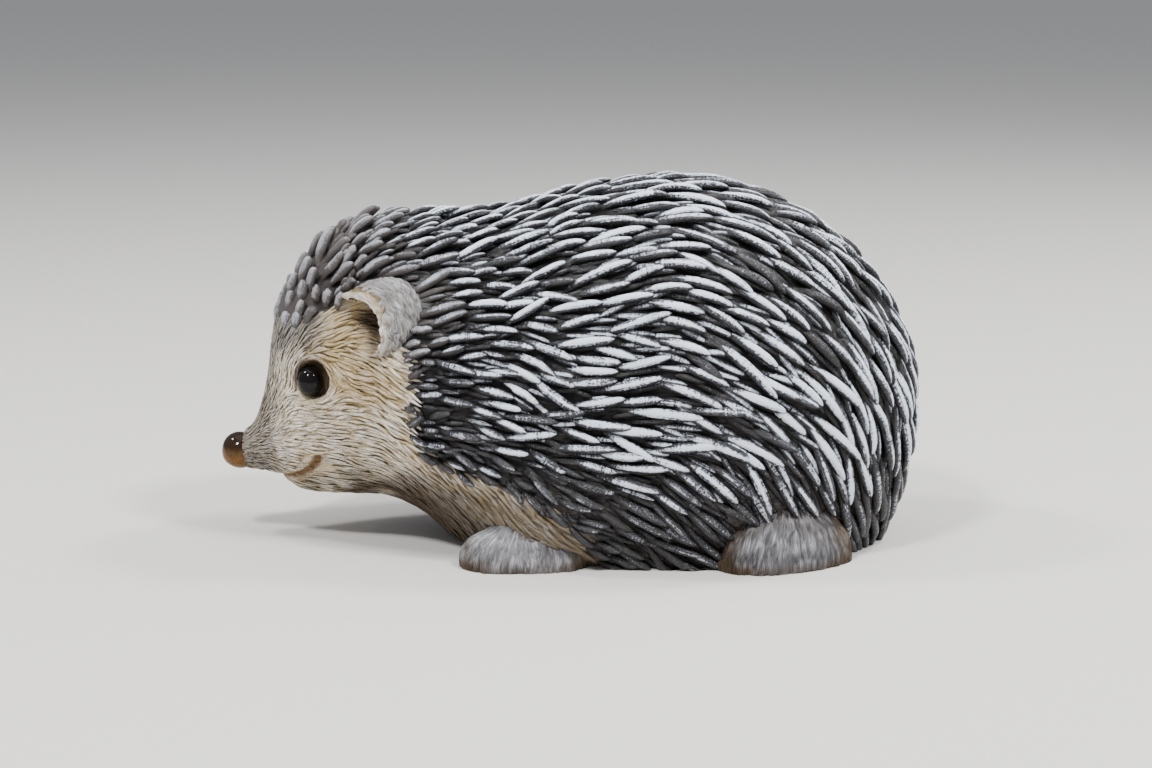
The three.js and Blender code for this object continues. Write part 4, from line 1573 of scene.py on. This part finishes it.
# %% Sums on sockets
def maths(operation, other_way=False):
    """A function that puts one maths node on two values, in either order."""
    def made(value, other):
        pair = (other, value) if other_way else (value, other)
        node = add(value.tree, "ShaderNodeMath", dict(enumerate(pair)), operation=operation)
        return Value(node.outputs[0])
    return made


class Value:
    """What a node's output socket carries. A sum written with it becomes maths nodes."""

    def __init__(self, socket):
        self.socket = socket
        self.tree = socket.id_data

    __add__ = __radd__ = maths("ADD")
    __mul__ = __rmul__ = maths("MULTIPLY")
    __sub__ = maths("SUBTRACT")
    __rsub__ = maths("SUBTRACT", other_way=True)
    __truediv__ = maths("DIVIDE")
    __rtruediv__ = maths("DIVIDE", other_way=True)

    def __abs__(self):
        return maths("ABSOLUTE")(self, 0.0)


larger = maths("MAXIMUM")
print("class for sums:", Value.__name__)


# %% Nodes, noise and masks
def feed(socket, value):
    """Links a socket to a Value, or sets it to a plain number or colour."""
    if isinstance(value, Value):
        value.tree.links.new(value.socket, socket)
    else:
        socket.default_value = value


def add(tree, kind, links=None, **settings):
    """Adds a node, sets its properties, and feeds its inputs from a dictionary."""
    node = tree.nodes.new(kind)
    for key, value in settings.items():
        setattr(node, key, value)
    for key, value in (links or {}).items():
        feed(node.inputs[key], value)
    return node


def place_of(x, y, z=0.0):
    """A place for noise, from its coordinates."""
    return Value(add(x.tree, "ShaderNodeCombineXYZ", {"X": x, "Y": y, "Z": z}).outputs[0])


def noise(place, scale, detail, roughness=0.55):
    """Soft noise, doubled about its middle: mostly -0.5 to 0.5."""
    links = {"Vector": place, "Scale": scale, "Detail": detail, "Roughness": roughness}
    node = add(place.tree, "ShaderNodeTexNoise", links)
    return (Value(node.outputs["Fac"]) - 0.5) * 2.0


def ramp(value, low, high, start=0.0, end=1.0):
    """value smoothly mapped from low..high to start..end."""
    links = {"Value": value, "From Min": low, "From Max": high, "To Min": start, "To Max": end}
    node = add(value.tree, "ShaderNodeMapRange", links, interpolation_type="SMOOTHSTEP")
    return Value(node.outputs["Result"])


def layer(mask, under, over):
    """The colour over laid on the colour under where the mask is 1."""
    links = {0: mask, 6: under, 7: over}
    return Value(add(mask.tree, "ShaderNodeMix", links, data_type="RGBA").outputs[2])


# %% The fine strokes between the carved ones
SWAY_WIDTH, SWAY_LENGTH, SWAY = 0.16, 2.5, 1.6
LINE_REACH = 0.17


def new_group(name, numbers, vectors, results):
    """A node group: its tree, its inputs as Values by name, and its output node. numbers
    are the float inputs with their first values, and all results are floats."""
    group = bpy.data.node_groups.new(name, "ShaderNodeTree")
    for vector in vectors:
        group.interface.new_socket(vector, in_out="INPUT", socket_type="NodeSocketVector")
    for number, value in numbers.items():
        made = group.interface.new_socket(number, in_out="INPUT", socket_type="NodeSocketFloat")
        made.default_value = value
    for result in results:
        group.interface.new_socket(result, in_out="OUTPUT", socket_type="NodeSocketFloat")
    given = group.nodes.new("NodeGroupInput")
    inputs = {key: Value(given.outputs[key]) for key in [*vectors, *numbers]}
    return group, inputs, group.nodes.new("NodeGroupOutput")


def fine_strokes_group():
    """Line is 1 in a fine groove, where noise that is stretched along the hair crosses its
    middle. The two stroke counts are mixed by Share, as on the mesh."""
    group, given, result = new_group(
        "fine_strokes",
        dict(Along=0.0, Even=0.0, Odd=0.0, Share=0.0, Fineness=1.2, Length=5.0), [], ["Line"])
    lengthwise = given["Along"] / given["Length"]
    lines = []
    for count in ("Even", "Odd"):
        crosswise = given[count] * given["Fineness"]
        wave = noise(place_of(crosswise * SWAY_WIDTH, lengthwise * SWAY_LENGTH), 1.0, 0.0)
        sway = (wave + 1.0) * SWAY
        value = noise(place_of(crosswise + sway, lengthwise), 1.0, 0.8, 0.4)
        lines.append(ramp(abs(value), 0.0, LINE_REACH, 1.0, 0.0))
    links = {0: given["Share"], 2: lines[0], 3: lines[1]}
    both = add(group, "ShaderNodeMix", links, data_type="FLOAT")
    feed(result.inputs["Line"], Value(both.outputs[0]))
    return group


# %% The mottle of hand-laid paint
def mottle_group():
    """Broad is slow noise for uneven colour, and Fine is speckle for ragged edges. The
    vector is in metres, and Size is the broad patches' size in mm."""
    group, given, result = new_group("paint_mottle", dict(Size=6.0), ["Vector"],
                                     ["Broad", "Fine"])
    scale = 1000.0 / given["Size"]
    feed(result.inputs["Broad"], noise(given["Vector"], scale, 3.0))
    feed(result.inputs["Fine"], noise(given["Vector"], scale * 12.0, 3.0, 0.7))
    return group


FINE_STROKES = fine_strokes_group()
MOTTLE = mottle_group()
print("node groups:", [group.name for group in bpy.data.node_groups])


# %% Starting and finishing a paint
def new_paint(name, kept, patch_size):
    """An empty material, and the values that vary over its surface: those kept on the mesh,
    named in one string, and the mottle's two, with patches of patch_size mm."""
    paint = bpy.data.materials.new(name)
    paint.use_nodes = True
    tree = paint.node_tree
    place = Value(add(tree, "ShaderNodeTexCoord").outputs["Object"])
    mottle = add(tree, "ShaderNodeGroup", {"Vector": place, "Size": patch_size},
                 node_tree=MOTTLE)
    at = SimpleNamespace(place=place, broad=Value(mottle.outputs["Broad"]),
                         fine=Value(mottle.outputs["Fine"]))
    for key in kept.split():
        node = add(tree, "ShaderNodeAttribute", attribute_name=key)
        setattr(at, key, Value(node.outputs["Fac"]))
    return paint, at


def finished(paint, colour, roughness, specular=0.5, height=None, relief=0.0):
    """Feeds the paint's shader, with a bump of height times relief in mm."""
    shader = paint.node_tree.nodes["Principled BSDF"]
    feed(shader.inputs["Base Color"], colour)
    feed(shader.inputs["Roughness"], roughness)
    shader.inputs["Specular IOR Level"].default_value = specular
    if height is not None:
        bump = add(paint.node_tree, "ShaderNodeBump",
                   {"Height": height, "Distance": relief * MM, "Strength": 1.0})
        feed(shader.inputs["Normal"], Value(bump.outputs["Normal"]))
    print("paint:", paint.name, "nodes:", len(paint.node_tree.nodes))
    return paint


# %% Colours of the paint
CREAM = (0.80, 0.75, 0.67, 1)
CREAM_WARM = (0.68, 0.60, 0.46, 1)
OCHRE = (0.47, 0.335, 0.135, 1)
OCHRE_WASH = (0.44, 0.30, 0.115, 1)
COOL = (0.345, 0.34, 0.35, 1)
COOL_SHADE = (0.115, 0.105, 0.1, 1)
PALE = (0.76, 0.74, 0.70, 1)
GREY_BROWN = (0.125, 0.108, 0.096, 1)
# Dark brown, for brown paint and for painted shade in hollows and under the body.
DARK_BROWN = (0.055, 0.033, 0.016, 1)
MOUTH_BROWN = (0.15, 0.078, 0.027, 1)
DEEP = (0.0065, 0.0058, 0.0065, 1)
GREY_RECESS = (0.075, 0.064, 0.06, 1)
PALE_GREY = (0.36, 0.36, 0.385, 1)
RECESS = (0.0135, 0.0112, 0.011, 1)
# Blue-grey, for dry-brush dust and a painted sheen of the sky on the varnish.
DUST_AND_SHEEN = (0.17, 0.185, 0.24, 1)
WHITE = (0.82, 0.88, 1.0, 1)
PAW_PALE = (0.48, 0.485, 0.52, 1)
PAW_SHADE = (0.24, 0.235, 0.25, 1)
PAW_GROOVE = (0.12, 0.105, 0.095, 1)
# Dark grey, for the paws' grey and for painted shade low on the paws and by the body.
PAW_GREY = (0.07, 0.069, 0.075, 1)
EYE_BLACK, EYE_RING = (0.006, 0.005, 0.005, 1), (0.05, 0.025, 0.014, 1)
NOSE_ORANGE, NOSE_BROWN = (0.2, 0.095, 0.022, 1), (0.02, 0.012, 0.008, 1)
NOSE_SPECK = (0.03, 0.016, 0.009, 1)
print("brightest and darkest paint:", WHITE[:3], DEEP[:3])


# %% Cream and ochre fur
def fur_paint(name, pale, warm, in_grooves, over_grey, wash_strength, grey_reach):
    """Pale over warm by the mottle, then an ochre wash, the grooves' colour, cool neutral
    paint, pale edges, airbrushed grey, dark brown shades, the mouth's line, and the dark
    varnish of the quilled coat. The grey and the dark brown are in part painted shade, in
    hollows, under the body and low on the paws. grey_reach is how far the grey covers crests
    and grooves."""
    paint, at = new_paint(
        name, "along even odd share groove ochre grey shade mouth cool pale quilled", 4.0)
    counted = {"Along": at.along, "Even": at.even, "Odd": at.odd, "Share": at.share,
               "Fineness": 1.7, "Length": 8.0}
    lines = Value(add(paint.node_tree, "ShaderNodeGroup", counted,
                      node_tree=FINE_STROKES).outputs["Line"])
    cut = larger(lines * 0.6, at.groove)

    base = layer(ramp(at.broad, -0.3, 0.3), pale, warm)
    wash = ramp(at.ochre + at.broad * 0.6, 0.3, 1.1) * wash_strength
    in_cuts = cut * ramp(at.ochre + at.fine, -0.3, 0.8, 0.45, 1.0)
    stained = layer(in_cuts, layer(wash, base, OCHRE_WASH), in_grooves)
    cooled = layer(at.cool, stained, layer(cut * 0.85, COOL, COOL_SHADE))
    edged = layer(ramp(at.pale + at.fine * 0.5, 0.15, 0.7), cooled, PALE)
    greyed = layer(at.grey * ramp(cut, 0, 1, *grey_reach), edged, over_grey)
    shaded = layer(ramp(at.shade + at.fine * 0.3, 0.12, 0.95), greyed, DARK_BROWN)
    lined = layer(ramp(at.mouth + at.fine, 0.15, 0.8), shaded, MOUTH_BROWN)
    varnish = layer(ramp(at.broad - cut, -0.6, 0.3), DEEP, RECESS)
    varnish = layer(at.grey, varnish, GREY_RECESS)
    roughness = ramp(at.quilled + at.fine * 0.4, 0.0, 1.0, 0.62, 0.34)
    return finished(paint, layer(at.quilled, lined, varnish), roughness, specular=0.35,
                    height=at.fine * 0.15 - lines, relief=0.22)


cream_paint = fur_paint("cream_fur_paint", CREAM, CREAM_WARM, OCHRE, GREY_BROWN,
                        wash_strength=0.72, grey_reach=(0.7, 0.84))
grey_paint = fur_paint("grey_paw_paint", PAW_PALE, PAW_SHADE, PAW_GROOVE, PAW_GREY,
                       wash_strength=0.6, grey_reach=(0.45, 1.0))
for piece in (cast_skin, ears, fur_left, fur_right):
    piece.data.materials.append(cream_paint)
paws.data.materials.append(grey_paint)


# %% Dark varnish with a dry brush of white
WHITE_FROM, WHITE_EDGE = 1.51, 0.14
GREY_FROM, GREY_EDGE = 0.46, 0.74


def quill_paint():
    """Dark varnish, darker on the lower side as painted shade, a trace of blue-grey that is
    both the brush's dust and a painted sheen of the sky on the varnish, and white where the
    brush passed: on the crest and away from the root. The white's edge is combed into short
    cross strokes and broken by speckle. The grey crown's white starts lower by GREY_FROM,
    and its edge is softer by GREY_EDGE."""
    paint, at = new_paint("dry_brushed_quill_paint", "root_to_tip crest white chance grey", 3.2)

    def on_quill(along, across, detail):
        """Noise with so many cells along and across each quill, its own on each."""
        place = place_of(at.root_to_tip * along, at.crest * across, at.chance * 60.0)
        return noise(place, 1.0, detail)

    patches, combed, grooved = on_quill(3, 3, 2), on_quill(34, 1.6, 1), on_quill(2.5, 9, 2)
    speckle = on_quill(56, 9, 1)
    # The varnish is darkest low on each quill's sides, as painted shade below the crest.
    varnish = layer(ramp(at.broad + at.crest, -0.3, 1.0), DEEP, RECESS)
    varnish = layer(at.grey, varnish, GREY_RECESS)
    off_root = ramp(at.root_to_tip, 0.1, 0.5, -0.8, 0.04)
    off_tip = ramp(at.root_to_tip, 0.94, 1.0, 0.0, -0.35)
    reach = (off_root + off_tip + at.crest + at.white * 0.8 + at.chance * 0.24 + at.fine * 0.5
             + patches * 0.5 + combed * 0.3 + grooved * 0.22 + speckle * 0.42)
    # Blue-grey where the white thins out: the brush's dust, and a painted sheen of the sky on the
    # dark varnish.
    dust_and_sheen = layer(ramp(reach + speckle * 1.1, 1.25, 1.6, 0.0, 0.42), varnish, DUST_AND_SHEEN)
    first = WHITE_FROM - at.grey * GREY_FROM
    brushed = ramp(reach, first, first + (at.grey * GREY_EDGE + WHITE_EDGE))
    thin = ramp(at.white, 0.3, 0.75, 0.7, 0.0)
    white = layer(larger(at.grey, thin), WHITE, PALE_GREY)
    roughness = ramp(brushed + at.fine * 0.2, 0.0, 1.0, 0.2, 0.6)
    return finished(paint, layer(brushed, dust_and_sheen, white), roughness,
                    height=at.fine + grooved + brushed * 0.6, relief=0.11)


white_over_dark = quill_paint()
for piece in (quills_left, quills_right, quills_low_left, quills_low_right):
    piece.data.materials.append(white_over_dark)


# %% Brushed tufts
def tuft_paint():
    """Ochre-brown low on the sides, cream on the crest, and nearly white at the tips of the
    tufts that the brush caught. The chest's are dull."""
    paint, at = new_paint("cream_tuft_paint", "root_to_tip crest white dull", 3.0)
    low = layer(at.white, OCHRE, RECESS)
    over = layer(at.dull * 0.5, layer(at.dull, CREAM_WARM, OCHRE_WASH), GREY_BROWN)
    body = layer(ramp(at.crest + at.fine, 0.0, 0.8), low, over)
    tip = ramp(at.root_to_tip, 0.25, 0.7) * at.white * ramp(at.crest + at.fine, 0.3, 0.75)
    return finished(paint, layer(tip, body, WHITE), ramp(at.fine, -0.5, 0.5, 0.5, 0.7),
                    height=at.fine, relief=0.06)


tufts.data.materials.append(tuft_paint())


# %% Eye and nose gloss
def eye_paint():
    """Black-brown gloss, with a brown ring where the bead meets the face."""
    paint, at = new_paint("eye_gloss_paint", "edge", 2.0)
    ring = ramp(at.edge + at.fine * 0.05, 0.96, 1.04)
    return finished(paint, layer(ring, EYE_BLACK, EYE_RING),
                    ramp(at.broad, -0.5, 0.5, 0.05, 0.1), specular=0.16)


def nose_paint():
    """Orange-brown gloss below and dark brown above, with dark specks in between."""
    paint, at = new_paint("nose_gloss_paint", "", 3.0)
    height = Value(add(at.place.tree, "ShaderNodeSeparateXYZ", {"Vector": at.place}).outputs["Z"])
    upward = (height - NOSE_PLACE[2] * MM) * 400.0 + at.broad * 0.9
    base = layer(ramp(upward, -1.0, 1.0), NOSE_ORANGE, NOSE_BROWN)
    colour = layer(ramp(at.fine, -0.02, 0.12, 0.0, 0.85), base, NOSE_SPECK)
    return finished(paint, colour, ramp(at.fine, -0.5, 0.5, 0.04, 0.08), specular=0.17,
                    height=at.broad, relief=0.05)


eye_gloss = eye_paint()
for piece in (eye_left, eye_right):
    piece.data.materials.append(eye_gloss)
nose_ball.data.materials.append(nose_paint())

# %% [markdown]
# ## The pieces on the body
#
# Every piece rides on the one body, and the solids that it stands for are hidden. The table
# also lists a finish for each piece, which nothing here applies.

# %% Bodies, solids and finishes
REPLACED = {
    cast_skin: ("fur_paint", ["trunk", "crown", "head", "lower_jaw", "chest"]),
    ears: ("fur_paint", ["ear_left", "ear_right"]),
    paws: ("paw_paint", ["foreleg_left", "foreleg_right", "hindleg_left", "hindleg_right"]),
    quills_left: ("quill_paint", ["trunk", "crown"]),
    quills_right: ("quill_paint", ["trunk", "crown"]),
    quills_low_left: ("quill_paint", ["trunk", "crown"]),
    quills_low_right: ("quill_paint", ["trunk", "crown"]),
    fur_left: ("fur_paint", ["head", "lower_jaw", "chest"]),
    fur_right: ("fur_paint", ["head", "lower_jaw", "chest"]),
    tufts: ("fur_paint", ["head", "chest"]),
    eye_left: ("eye_gloss", ["eye_left"]),
    eye_right: ("eye_gloss", ["eye_right"]),
    nose_ball: ("nose_gloss", ["nose"]),
}
for piece, (finish, nodes) in REPLACED.items():
    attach(piece, "root")
    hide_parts(*nodes)

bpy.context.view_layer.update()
